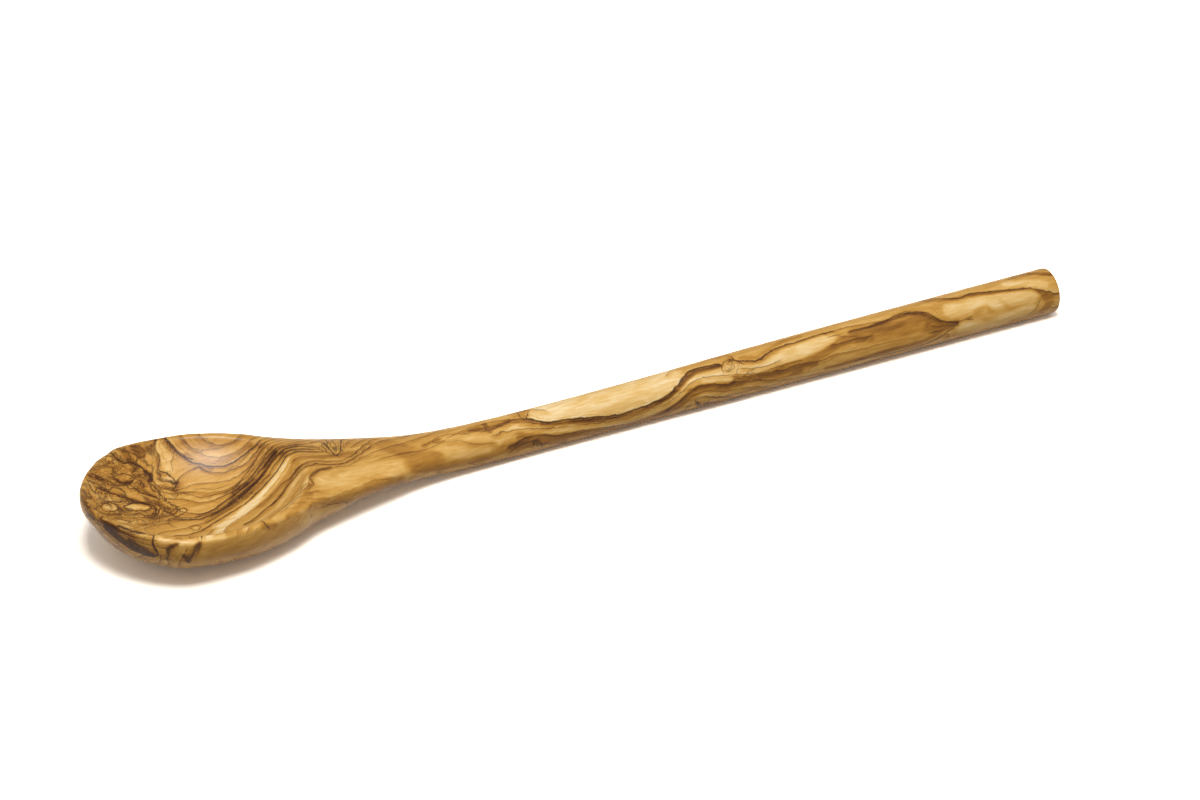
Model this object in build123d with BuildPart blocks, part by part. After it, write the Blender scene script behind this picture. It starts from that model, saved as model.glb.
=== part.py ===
from build123d import *
import os
from math import atan2, cos, degrees, radians, sin

# A cooking spoon carved from one piece of olive wood: a broad bowl, a swelling neck and a round
# handle. It lies as it does on a table, hollow upwards. X runs from the bowl's tip to the handle's
# end, Y runs across, Z points up, and the origin is on the table under the middle of the spoon.

# Overall sizes, in millimetres
length = 300.0
bowl_width = 53.6
tip_height = 21.0

# Bowl, from its tip to the ridge behind the hollow
bowl_length = 62.5
rim_width = 3.6
rim_round = 1.3
hollow_depth = 11.6

# Neck, from the ridge to the start of the handle
neck_length = 62.5
ridge_width = 33.4
ridge_height = 15.5
neck_clearance = 4.3

# Round handle
handle_start_diameter = 12.0
handle_end_diameter = 13.5
end_round = 1.0

# Places that follow from those sizes
tip_x = -length / 2
end_x = length / 2
ridge_x = tip_x + bowl_length
handle_x = ridge_x + neck_length
handle_length = end_x - handle_x

# How full the quarters of a section are: 0.552 makes a circle, and more makes it squarer
circle_share = 0.552
bowl_fullness_share = 0.71

# Bowl: place, as a share of its length, half width, as a share of the bowl's, and the heights of
# the top, of the widest line and of the underside, as shares of the tip's
tip_share = 0.86
bowl_shares = (
    (0.020, 0.240, 0.995, 0.873, 0.690),
    (0.060, 0.450, 0.987, 0.865, 0.490),
    (0.135, 0.690, 0.968, 0.845, 0.305),
    (0.250, 0.890, 0.938, 0.815, 0.175),
    (0.400, 0.995, 0.905, 0.783, 0.092),
    (0.550, 0.995, 0.882, 0.760, 0.035),
    (0.700, 0.925, 0.857, 0.730, 0.000),
    (0.850, 0.795, 0.807, 0.682, 0.030),
)

# Neck: place, as a share of its length, then how much is left of the ridge's half width, height
# and widest line on the way down to the handle's, the gap under it, as a share of the clearance,
# and the fullness
ridge_widest_share = 0.84
neck_shares = (
    (0.00, 1.00, 1.00, 1.00, 0.34, 0.70),
    (0.12, 0.80, 0.64, 0.81, 0.68, 0.69),
    (0.24, 0.62, 0.38, 0.65, 1.00, 0.68),
    (0.38, 0.41, 0.18, 0.50, 0.84, 0.65),
    (0.54, 0.18, 0.05, 0.34, 0.48, 0.61),
    (0.72, 0.06, 0.01, 0.16, 0.18, 0.58),
    (0.88, 0.02, 0.00, 0.05, 0.04, 0.56),
)

# Handle: place along its length, and how far its diameter has grown towards the end's
swell_shares = ((0.20, 0.07), (0.43, 0.58), (0.68, 0.86), (1.00, 1.00))

# Hollow: places of its widest line and of its deepest point, as shares of its length, and the
# fullness of the quarters of its outline, then the turns of the quarter round of its wall, in
# degrees, and how far the cutter reaches above the rim, as a share of the hollow's depth
hollow_widest_share = 0.45
deepest_share = 0.48
front_fullness_share = 0.56
back_fullness_share = 0.50
back_corner_share = 0.55
wall_turns = (0, 18, 36, 54, 72)
overrun_share = 0.5


def blend(share, start, end):
    """The value that lies a share of the way from start to end."""
    return start + share * (end - start)


def cross_section(x, reach, top, widest, bottom, fullness_share):
    """A closed oval across the spoon, of four curves that meet at its sides, top and underside."""
    with BuildSketch(Plane.YZ.offset(x)) as section:
        with BuildLine():
            for edge in (-reach, reach):
                for limit in (top, bottom):
                    shoulder = blend(fullness_share, widest, limit)
                    Bezier((edge, widest), (edge, shoulder), (fullness_share * edge, limit), (0, limit))
        make_face()
    return section.sketch


def round_section(x, diameter):
    """A round section of the handle, lying on the table."""
    return cross_section(x, diameter / 2, diameter, diameter / 2, 0, circle_share)


def bowl_sections():
    """The sections from the bowl's tip, which is a point, to just before the ridge."""
    sections = [Vertex(tip_x, 0, tip_share * tip_height)]
    for along, reach, top, widest, bottom in bowl_shares:
        sections.append(
            cross_section(
                tip_x + along * bowl_length,
                reach * bowl_width / 2,
                top * tip_height,
                widest * tip_height,
                bottom * tip_height,
                bowl_fullness_share,
            )
        )
    return sections


def neck_sections():
    """The sections from the ridge to the start of the handle."""
    radius = handle_start_diameter / 2
    sections = []
    for along, reach, top, widest, gap, fullness_share in neck_shares:
        sections.append(
            cross_section(
                ridge_x + along * neck_length,
                blend(reach, radius, ridge_width / 2),
                blend(top, handle_start_diameter, ridge_height),
                blend(widest, radius, ridge_widest_share * ridge_height),
                gap * neck_clearance,
                fullness_share,
            )
        )
    sections.append(round_section(handle_x, handle_start_diameter))
    return sections


def handle_sections():
    """The round sections from the handle's start to its end."""
    sections = [round_section(handle_x, handle_start_diameter)]
    for along, swell in swell_shares:
        diameter = blend(swell, handle_start_diameter, handle_end_diameter)
        sections.append(round_section(handle_x + along * handle_length, diameter))
    return sections


# The rim plane runs along the rim, from the tip down to the ridge
hollow_x = tip_x + rim_width
hollow_length = ridge_x - hollow_x
hollow_reach = bowl_width / 2 - rim_width
deepest = deepest_share * hollow_length
rim_fall = degrees(atan2(tip_height - ridge_height, hollow_length))
rim_plane = Plane((hollow_x, 0, tip_height)).rotated((0, rim_fall, 0))


def hollow_outline(depth, scale_share):
    """The hollow's outline at a depth under the rim plane, drawn in about the deepest point."""
    front = blend(scale_share, deepest, 0)
    back = blend(scale_share, deepest, hollow_length)
    widest = blend(scale_share, deepest, hollow_widest_share * hollow_length)
    front_turn = blend(front_fullness_share, widest, front)
    back_turn = blend(back_fullness_share, widest, back)
    with BuildSketch(rim_plane.offset(-depth)) as outline:
        with BuildLine():
            for side in (-scale_share * hollow_reach, scale_share * hollow_reach):
                Bezier((widest, side), (front_turn, side), (front, front_fullness_share * side), (front, 0))
                Bezier((widest, side), (back_turn, side), (back, back_corner_share * side), (back, 0))
        make_face()
    return outline.sketch


def hollow_levels():
    """The outlines from above the rim down to the deepest point."""
    levels = [hollow_outline(-overrun_share * hollow_depth, 1)]
    for turn in wall_turns:
        levels.append(hollow_outline(hollow_depth * sin(radians(turn)), cos(radians(turn))))
    levels.append(Vertex(*rim_plane.from_local_coords((deepest, 0, -hollow_depth))))
    return levels


# The spoon: bowl and neck in one sweep of sections, the handle in another, then the hollow with
# its softened rim, and the handle's end with its edge eased
with BuildPart() as spoon:
    loft(sections=bowl_sections() + neck_sections())
    loft(sections=handle_sections())
    loft(sections=hollow_levels(), mode=Mode.SUBTRACT)
    rim_edges = spoon.edges(Select.LAST).filter_by(lambda edge: edge.center().Z > ridge_height)
    fillet(rim_edges, radius=rim_round)
    end_edges = spoon.faces().sort_by(Axis.X)[-1].edges()
    fillet(end_edges, radius=end_round)

spoon.part.label = "spoon"
os.makedirs("parts", exist_ok=True)
export_step(spoon.part, "parts/spoon.step")
print(f"spoon: {spoon.part.volume / 1000:.1f} cubic centimetres, {spoon.part.bounding_box()}")
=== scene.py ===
# %% [markdown]
# # A carved olive-wood spoon
# This script builds one long cooking spoon, carved from a single piece of olive wood, the way it
# lies on a pale table. Each step says what it makes and why it is made that way.

# %% Load the frame
from math import atan2, cos, log, pi, radians, sin

import bpy
import numpy as np
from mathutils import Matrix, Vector
from mathutils.bvhtree import BVHTree


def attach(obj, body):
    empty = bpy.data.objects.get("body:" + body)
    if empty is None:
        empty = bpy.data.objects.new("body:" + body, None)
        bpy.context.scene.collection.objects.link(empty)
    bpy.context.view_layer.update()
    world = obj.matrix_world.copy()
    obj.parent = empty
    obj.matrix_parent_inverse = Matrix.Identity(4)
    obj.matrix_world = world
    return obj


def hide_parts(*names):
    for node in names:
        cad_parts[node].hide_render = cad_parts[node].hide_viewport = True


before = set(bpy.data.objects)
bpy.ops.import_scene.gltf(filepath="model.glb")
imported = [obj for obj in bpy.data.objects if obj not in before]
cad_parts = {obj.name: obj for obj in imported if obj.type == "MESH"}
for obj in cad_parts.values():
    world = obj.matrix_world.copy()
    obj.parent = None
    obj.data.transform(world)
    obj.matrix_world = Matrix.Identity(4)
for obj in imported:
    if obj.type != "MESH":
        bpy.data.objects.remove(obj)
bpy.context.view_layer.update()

# %% [markdown]
# ## Sizes
# A spoon maker works from a few sizes: the length, the bowl, the neck and the handle. The drawing
# is in millimetres, with along measured from the bowl's tip, and across from the middle line.

# %% The maker's sizes
MM = 0.001
LENGTH = 300.0
BOWL_WIDTH = 53.6
TIP_HEIGHT = 21.0
BOWL_LENGTH = 62.5
RIM_WIDTH = 1.5
HOLLOW_DEPTH = 11.6
NECK_LENGTH = 62.5
RIDGE_WIDTH = 33.4
RIDGE_HEIGHT = 15.5
NECK_CLEARANCE = 4.3
HANDLE_START = 12.0
HANDLE_END = 13.5
TIP_X = -LENGTH / 2
print(f"spoon {LENGTH:.0f} mm long, bowl {BOWL_WIDTH} mm wide")

# %% [markdown]
# ## Camera
# The camera stands where the photographer's did: in front of the spoon's side, about 32 degrees
# above the table, with a long lens. It comes first, because the wood's figure is drawn later by
# marks read from the photograph, and each mark is carried to the wood along the camera's view.

# %% Camera
CAMERA_AZIMUTH = radians(-26.40)
CAMERA_HEIGHT = radians(32.30)
CAMERA_DISTANCE = 1.2124
CAMERA_TARGET = Vector((0.00996, 0.01399, 0.0))
CAMERA_LENS = 127.97
CAMERA_NEAR = 0.01
CAMERA_FAR = 20.0
SENSOR = 36.0
PHOTO_WIDTH = 1200
PHOTO_HEIGHT = 800

camera_data = bpy.data.cameras.new("camera")
camera_data.sensor_width = SENSOR
camera_data.sensor_fit = "HORIZONTAL"
camera_data.lens = CAMERA_LENS
camera_data.clip_start = CAMERA_NEAR
camera_data.clip_end = CAMERA_FAR
camera = bpy.data.objects.new("camera", camera_data)
away = Vector((sin(CAMERA_AZIMUTH) * cos(CAMERA_HEIGHT), -cos(CAMERA_AZIMUTH) * cos(CAMERA_HEIGHT),
               sin(CAMERA_HEIGHT)))
camera.location = CAMERA_TARGET + away * CAMERA_DISTANCE
camera.rotation_euler = (pi / 2 - CAMERA_HEIGHT, 0, CAMERA_AZIMUTH)
bpy.context.scene.collection.objects.link(camera)
bpy.context.scene.camera = camera
bpy.context.scene.view_settings.view_transform = "Standard"
print(f"camera {CAMERA_DISTANCE:.2f} m away, lens {CAMERA_LENS:.0f} mm")


# %% From a pixel of the photograph to a direction
def view_ray(pixel):
    """The direction in which the camera sees a pixel of the photograph."""
    right = Vector((cos(CAMERA_AZIMUTH), sin(CAMERA_AZIMUTH), 0))
    up = away.cross(right)
    focal = CAMERA_LENS / SENSOR * PHOTO_WIDTH
    across = (pixel[0] - PHOTO_WIDTH / 2) / focal
    down = (pixel[1] - PHOTO_HEIGHT / 2) / focal
    return (-away + across * right - down * up).normalized()


# %% [markdown]
# ## Sections
# The shape is given as it would be for a boat's hull: cross-sections at stations along the length.
# Each section has a half width, the height of its top, the height at which it is widest, the
# height of its underside, and a fullness that says how square its shoulders are.

# %% Stations along the spoon
BOWL_SHARES = (
    (0.020, 0.240, 0.995, 0.873, 0.690),
    (0.060, 0.437, 0.987, 0.865, 0.490),
    (0.135, 0.675, 0.968, 0.845, 0.305),
    (0.250, 0.890, 0.938, 0.815, 0.175),
    (0.400, 1.000, 0.905, 0.783, 0.092),
    (0.550, 0.987, 0.882, 0.760, 0.035),
    (0.700, 0.917, 0.857, 0.730, 0.000),
    (0.850, 0.795, 0.807, 0.682, 0.030),
)
NECK_SHARES = (
    (0.00, 1.00, 1.00, 1.00, 0.34, 0.70),
    (0.12, 0.80, 0.64, 0.81, 0.68, 0.69),
    (0.24, 0.62, 0.38, 0.65, 1.00, 0.68),
    (0.38, 0.41, 0.18, 0.50, 0.84, 0.65),
    (0.54, 0.18, 0.05, 0.34, 0.48, 0.61),
    (0.72, 0.06, 0.01, 0.16, 0.18, 0.58),
    (0.88, 0.02, 0.00, 0.05, 0.04, 0.56),
)
SWELL_SHARES = ((0.20, 0.07), (0.43, 0.58), (0.68, 0.86), (1.00, 1.00))
TIP_SHARE = 0.86
WIDEST_SHARE = 0.84
BOWL_FULLNESS = 0.71
ROUND_FULLNESS = 0.552


def stations():
    """One row per section: along, half width, top, widest, underside and fullness."""
    tip = TIP_SHARE * TIP_HEIGHT
    rows = [(0.0, 0.0, tip, tip, tip, BOWL_FULLNESS)]
    for along, reach, top, widest, bottom in BOWL_SHARES:
        rows.append((along * BOWL_LENGTH, reach * BOWL_WIDTH / 2, top * TIP_HEIGHT,
                     widest * TIP_HEIGHT, bottom * TIP_HEIGHT, BOWL_FULLNESS))
    radius = HANDLE_START / 2
    for along, reach, top, widest, gap, fullness in NECK_SHARES:
        rows.append((BOWL_LENGTH + along * NECK_LENGTH,
                     radius + reach * (RIDGE_WIDTH / 2 - radius),
                     HANDLE_START + top * (RIDGE_HEIGHT - HANDLE_START),
                     radius + widest * (WIDEST_SHARE * RIDGE_HEIGHT - radius),
                     gap * NECK_CLEARANCE, fullness))
    start = BOWL_LENGTH + NECK_LENGTH
    for along, share in ((0.0, 0.0),) + SWELL_SHARES:
        thick = HANDLE_START + share * (HANDLE_END - HANDLE_START)
        rows.append((start + along * (LENGTH - start), thick / 2, thick, thick / 2, 0.0,
                     ROUND_FULLNESS))
    return np.array(rows)


STATIONS = stations()
print(f"{len(STATIONS)} stations, widest half width {STATIONS[:, 1].max():.1f} mm")

# %% [markdown]
# ## Helpers for nodes
# Node trees get long, so one small function adds a node, sets its options and fills its sockets
# with numbers or with links from other nodes. It gives back one of the node's outputs, the first
# one unless another is asked for. A second function starts a node group with named sockets.

# %% Add a node
def add(tree, kind, *inputs, out=0, **settings):
    """Add a node, set its options, and fill its inputs in order with values or links."""
    node = tree.nodes.new(kind)
    for name, value in settings.items():
        setattr(node, name, value)
    sockets = [socket for socket in node.inputs if socket.enabled]
    for socket, value in zip(sockets, inputs):
        if isinstance(value, bpy.types.NodeSocket):
            tree.links.new(value, socket)
        elif value is not None:
            socket.default_value = value
    return [socket for socket in node.outputs if socket.enabled][out]


# %% Start a node group
def start_group(name, takes, gives):
    """A new node group with named sockets, the outputs of its start and the input of its end."""
    tree = bpy.data.node_groups.new(name, "GeometryNodeTree")
    for socket, kind in takes.items():
        tree.interface.new_socket(socket, in_out="INPUT", socket_type="NodeSocket" + kind)
    for socket, kind in gives.items():
        tree.interface.new_socket(socket, in_out="OUTPUT", socket_type="NodeSocket" + kind)
    start = tree.nodes.new("NodeGroupInput").outputs
    end = tree.nodes.new("NodeGroupOutput").inputs[0]
    return tree, start, end


# %% [markdown]
# ## The carved form
# The real spoon is sawn to an outline, then carved and sanded, so no edge on it is sharp. Blender
# could loft the sections into a mesh and cut the bowl with a Boolean, but that leaves a hard rim.
# Here Geometry Nodes work out, for any point in space, how far it is outside the wood. A Volume
# Cube holds that number on a fine grid, and Volume to Mesh draws the skin where it is zero. The
# hollow is cut with a smooth maximum, which rounds the rim as sandpaper does.
#
# First come the drawing's long lines. Each is a Float Curve through the stations. The half width
# and the heights grow from the tip as a round nose does, so the curves hold their squares.

# %% The long lines of the drawing
LONG_RANGE = 27.0 ** 2
LEAST_ALONG = 0.001


def long_line(tree, along, values):
    """A Float Curve that runs through a value at each station, read at a place along the spoon."""
    share = add(tree, "ShaderNodeMath", along, LENGTH, operation="DIVIDE")
    line = add(tree, "ShaderNodeFloatCurve", 1.0, share)
    curve = line.node.mapping.curves[0]
    while len(curve.points) < len(values):
        curve.points.new(0.5, 0.5)
    for point, place, value in zip(curve.points, STATIONS[:, 0], values):
        point.location = (place / LENGTH, value / LONG_RANGE)
        point.handle_type = "AUTO"
    line.node.mapping.update()
    return add(tree, "ShaderNodeMath", line, LONG_RANGE, operation="MULTIPLY")


# %% How far a point is outside the blank
def blank_group():
    """Node group: 1 on the blank's skin, less inside it and more outside."""
    tree, start, end = start_group("blank gauge", {"Place": "Vector"}, {"Gauge": "Float"})
    x, y, z = (add(tree, "ShaderNodeSeparateXYZ", start["Place"], out=way) for way in range(3))
    along = add(tree, "ShaderNodeClamp", x, LEAST_ALONG, LENGTH)
    reach = add(tree, "ShaderNodeMath", long_line(tree, along, STATIONS[:, 1] ** 2),
                operation="SQRT")
    rise = add(tree, "ShaderNodeMath",
               long_line(tree, along, (STATIONS[:, 2] - STATIONS[:, 3]) ** 2), operation="SQRT")
    drop = add(tree, "ShaderNodeMath",
               long_line(tree, along, (STATIONS[:, 3] - STATIONS[:, 4]) ** 2), operation="SQRT")
    widest = long_line(tree, along, STATIONS[:, 3])
    power = long_line(tree, along, log(2) / -np.log((4 + 3 * STATIONS[:, 5]) / 8))
    height = add(tree, "ShaderNodeMath", z, widest, operation="SUBTRACT")
    above = add(tree, "ShaderNodeMath", height, 0.0, operation="GREATER_THAN")
    limit = add(tree, "ShaderNodeMix", above, drop, rise)
    side = add(tree, "ShaderNodeMath", y, operation="ABSOLUTE")
    side = add(tree, "ShaderNodeMath", side, reach, operation="DIVIDE")
    height = add(tree, "ShaderNodeMath", height, operation="ABSOLUTE")
    height = add(tree, "ShaderNodeMath", height, limit, operation="DIVIDE")
    side = add(tree, "ShaderNodeMath", side, power, operation="POWER")
    height = add(tree, "ShaderNodeMath", height, power, operation="POWER")
    both = add(tree, "ShaderNodeMath", side, height, operation="ADD")
    root = add(tree, "ShaderNodeMath", 1.0, power, operation="DIVIDE")
    gauge = add(tree, "ShaderNodeMath", both, root, operation="POWER")
    tree.links.new(gauge, end)
    return tree


# %% [markdown]
# The hollow is a dish under a plane that falls from the tip's rim to the ridge. Seen from above it
# is an egg: a short round front and a longer back that comes to a soft point at the ridge. Its
# wall leaves the rim at a slope of about 50 degrees, so the rim is thin and no wall is upright.

# %% How far a point is inside the dish
HOLLOW_LENGTH = BOWL_LENGTH - RIM_WIDTH
HOLLOW_REACH = BOWL_WIDTH / 2 - RIM_WIDTH
RIM_FALL = atan2(TIP_HEIGHT - RIDGE_HEIGHT, HOLLOW_LENGTH)
DISH_MIDDLE = 0.47
FRONT_POWER = 2.02
BACK_POWER = 1.93
DEPTH_POWER = 1.3


def dish_group():
    """Node group: 1 on the dish's skin, less inside the hollow and more outside it."""
    tree, start, end = start_group("dish gauge", {"Place": "Vector", "Hollow Depth": "Float"},
                                   {"Gauge": "Float"})
    place = add(tree, "ShaderNodeVectorMath", start["Place"], (RIM_WIDTH, 0, TIP_HEIGHT),
                operation="SUBTRACT")
    place = add(tree, "ShaderNodeVectorRotate", place, (0, 0, 0), (0, 1, 0), -RIM_FALL)
    u, y, z = (add(tree, "ShaderNodeSeparateXYZ", place, out=way) for way in range(3))
    middle = DISH_MIDDLE * HOLLOW_LENGTH
    u = add(tree, "ShaderNodeMath", u, middle, operation="SUBTRACT")
    behind = add(tree, "ShaderNodeMath", u, 0.0, operation="GREATER_THAN")
    reach = add(tree, "ShaderNodeMix", behind, middle, HOLLOW_LENGTH - middle)
    power = add(tree, "ShaderNodeMix", behind, FRONT_POWER, BACK_POWER)
    u = add(tree, "ShaderNodeMath", u, operation="ABSOLUTE")
    u = add(tree, "ShaderNodeMath", u, reach, operation="DIVIDE")
    u = add(tree, "ShaderNodeMath", u, power, operation="POWER")
    y = add(tree, "ShaderNodeMath", y, operation="ABSOLUTE")
    y = add(tree, "ShaderNodeMath", y, HOLLOW_REACH, operation="DIVIDE")
    y = add(tree, "ShaderNodeMath", y, power, operation="POWER")
    plan = add(tree, "ShaderNodeMath", u, y, operation="ADD")
    root = add(tree, "ShaderNodeMath", 2.0, power, operation="DIVIDE")
    plan = add(tree, "ShaderNodeMath", plan, root, operation="POWER")
    deep = add(tree, "ShaderNodeMath", z, -1.0, operation="MULTIPLY")
    deep = add(tree, "ShaderNodeMath", deep, start["Hollow Depth"], operation="DIVIDE")
    deep = add(tree, "ShaderNodeMath", deep, 0.0, operation="MAXIMUM")
    deep = add(tree, "ShaderNodeMath", deep, DEPTH_POWER, operation="POWER")
    gauge = add(tree, "ShaderNodeMath", plan, deep, operation="ADD")
    tree.links.new(gauge, end)
    return tree


# %% [markdown]
# A gauge isn't a distance: it changes fast near the thin handle and slowly in the broad bowl.
# Dividing it by its own steepness, measured from three small steps, gives millimetres. Then the
# dish is taken from the blank, and the handle is cut off square with its edge eased. How far the
# rim and the end are eased are inputs of the group, as is the depth of the hollow.

# %% The slope of a gauge
STEP = 0.05


def slope_of(tree, group, place, here, *sizes):
    """How fast a group's value rises along the three axes at a place, as a vector."""
    slopes = []
    for way in ((STEP, 0, 0), (0, STEP, 0), (0, 0, STEP)):
        there = add(tree, "ShaderNodeVectorMath", place, way, operation="ADD")
        value = add(tree, "GeometryNodeGroup", there, *sizes, node_tree=group)
        rise = add(tree, "ShaderNodeMath", value, here, operation="SUBTRACT")
        slopes.append(add(tree, "ShaderNodeMath", rise, STEP, operation="DIVIDE"))
    return add(tree, "ShaderNodeCombineXYZ", *slopes)


# %% From gauges to the distance outside the wood
FLATTEST_GAUGE = 0.001
HOLLOW_OVERRUN = 4.0
DEEP_INSIDE = -9.0


def skin_group():
    """Node group: how many millimetres a place is outside the spoon's skin."""
    tree, start, end = start_group(
        "outside the wood",
        {"Place": "Vector", "Rim Ease": "Float", "End Ease": "Float", "Hollow Depth": "Float"},
        {"Distance": "Float"})
    place = start["Place"]
    distances = []
    for group, sizes in ((blank_group(), ()), (dish_group(), (start["Hollow Depth"],))):
        here = add(tree, "GeometryNodeGroup", place, *sizes, node_tree=group)
        slope = slope_of(tree, group, place, here, *sizes)
        steepness = add(tree, "ShaderNodeVectorMath", slope, operation="LENGTH")
        steepness = add(tree, "ShaderNodeMath", steepness, FLATTEST_GAUGE, operation="MAXIMUM")
        over = add(tree, "ShaderNodeMath", here, 1.0, operation="SUBTRACT")
        distances.append(add(tree, "ShaderNodeMath", over, steepness, operation="DIVIDE"))
    blank, dish = distances
    x = add(tree, "ShaderNodeSeparateXYZ", place, out=0)
    in_bowl = add(tree, "ShaderNodeMath", x, BOWL_LENGTH + HOLLOW_OVERRUN, operation="LESS_THAN")
    hollow = add(tree, "ShaderNodeMath", dish, -1.0, operation="MULTIPLY")
    hollow = add(tree, "ShaderNodeMix", in_bowl, DEEP_INSIDE, hollow)
    wood = add(tree, "ShaderNodeMath", blank, hollow, start["Rim Ease"], operation="SMOOTH_MAX")
    cut = add(tree, "ShaderNodeMath", x, LENGTH, operation="SUBTRACT")
    wood = add(tree, "ShaderNodeMath", wood, cut, start["End Ease"], operation="SMOOTH_MAX")
    front = add(tree, "ShaderNodeMath", x, -1.0, operation="MULTIPLY")
    wood = add(tree, "ShaderNodeMath", wood, front, operation="MAXIMUM")
    tree.links.new(wood, end)
    return tree


# %% [markdown]
# The tree has the grid's spacing as an input too, and two passes of fine sanding that move each
# point of the skin to where the distance is exactly zero. A field is worked out anew for each Set
# Position node, so both passes share the same nodes. The tree ends in Realize Instances and Set
# Material.

# %% The carving tree
MARGIN = 2.0
OUTSIDE_GRID = 5.0
FLATTEST_SKIN = 0.2
SANDING_PASSES = 2


def carving_tree(material):
    """The tree that draws the spoon's skin from the distance group."""
    tree, start, end = start_group(
        "carved spoon",
        {"Geometry": "Geometry", "Spacing": "Float", "Rim Ease": "Float", "End Ease": "Float",
         "Hollow Depth": "Float"},
        {"Geometry": "Geometry"})
    sizes = [start[name] for name in ("Rim Ease", "End Ease", "Hollow Depth")]
    skin = skin_group()
    place = add(tree, "GeometryNodeInputPosition")
    distance = add(tree, "GeometryNodeGroup", place, *sizes, node_tree=skin)
    low = (-MARGIN, -BOWL_WIDTH / 2 - MARGIN, -MARGIN)
    high = (LENGTH + MARGIN, BOWL_WIDTH / 2 + MARGIN, TIP_HEIGHT + MARGIN)
    counts = []
    for least, most in zip(low, high):
        count = add(tree, "ShaderNodeMath", most - least, start["Spacing"], operation="DIVIDE")
        counts.append(add(tree, "ShaderNodeMath", count, operation="CEIL"))
    volume = add(tree, "GeometryNodeVolumeCube", distance, OUTSIDE_GRID, low, high, *counts)
    mesh = add(tree, "GeometryNodeVolumeToMesh", volume, 0.0)
    slope = slope_of(tree, skin, place, distance, *sizes)
    square = add(tree, "ShaderNodeVectorMath", slope, slope, operation="DOT_PRODUCT", out=0)
    square = add(tree, "ShaderNodeMath", square, FLATTEST_SKIN, operation="MAXIMUM")
    share = add(tree, "ShaderNodeMath", distance, square, operation="DIVIDE")
    share = add(tree, "ShaderNodeMath", share, -1.0, operation="MULTIPLY")
    move = add(tree, "ShaderNodeVectorMath", slope, share, operation="SCALE")
    for sanding in range(SANDING_PASSES):
        mesh = add(tree, "GeometryNodeSetPosition", mesh, True, place, move)
    mesh = add(tree, "GeometryNodeTransform", mesh, (TIP_X * MM, 0, 0), (0, 0, 0), (MM, MM, MM))
    mesh = add(tree, "GeometryNodeSetShadeSmooth", mesh)
    mesh = add(tree, "GeometryNodeRealizeInstances", mesh)
    mesh = add(tree, "GeometryNodeSetMaterial", mesh, True, material)
    tree.links.new(mesh, end)
    return tree


# %% [markdown]
# ## Make the spoon
# The tree runs on an empty mesh. Its result is copied to a plain mesh, so no modifier is left. The
# eases are in millimetres: the rim is rounded over about as much as a thumb can feel, and the cut
# end a little less.

# %% The spoon
CARVING_SIZES = {"Spacing": 0.56, "Rim Ease": 2.2, "End Ease": 1.4, "Hollow Depth": HOLLOW_DEPTH}
olive_wood = bpy.data.materials.new("olive_wood")
carving = bpy.data.objects.new("carving", bpy.data.meshes.new("carving"))
bpy.context.scene.collection.objects.link(carving)
tree = carving_tree(olive_wood)
modifier = carving.modifiers.new("carve", "NODES")
modifier.node_group = tree
for socket in tree.interface.items_tree:
    if socket.name in CARVING_SIZES:
        modifier[socket.identifier] = CARVING_SIZES[socket.name]
evaluated = carving.evaluated_get(bpy.context.evaluated_depsgraph_get())
spoon_mesh = bpy.data.meshes.new_from_object(evaluated)
bpy.data.objects.remove(carving)
spoon_mesh.name = "spoon_skin"
spoon = bpy.data.objects.new("carved_spoon", spoon_mesh)
bpy.context.scene.collection.objects.link(spoon)
spoon_mesh.calc_loop_triangles()
print(f"spoon: {len(spoon_mesh.vertices)} points, {len(spoon_mesh.loop_triangles)} triangles")

# %% [markdown]
# ## The figure of the wood
# Olive wood is known for its figure: thin dark veins along the growth rings, with brown heartwood
# on one side and pale wood on the other, and burl where the rings are crumpled. Rings are sheets
# inside the wood, and the knife shows where they cross the skin. So the figure is a field in
# space: a ring number at every point. Wherever it passes a whole number, a vein shows.
#
# The main veins are read from the photograph as chains of pixels, each with its ring number and
# its strength. Each pixel is carried to the skin along the camera's view. A radial basis function
# then gives the smoothest field through all those points, and the veins between and behind them
# follow by themselves, also on the underside that the photograph doesn't show.

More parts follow.
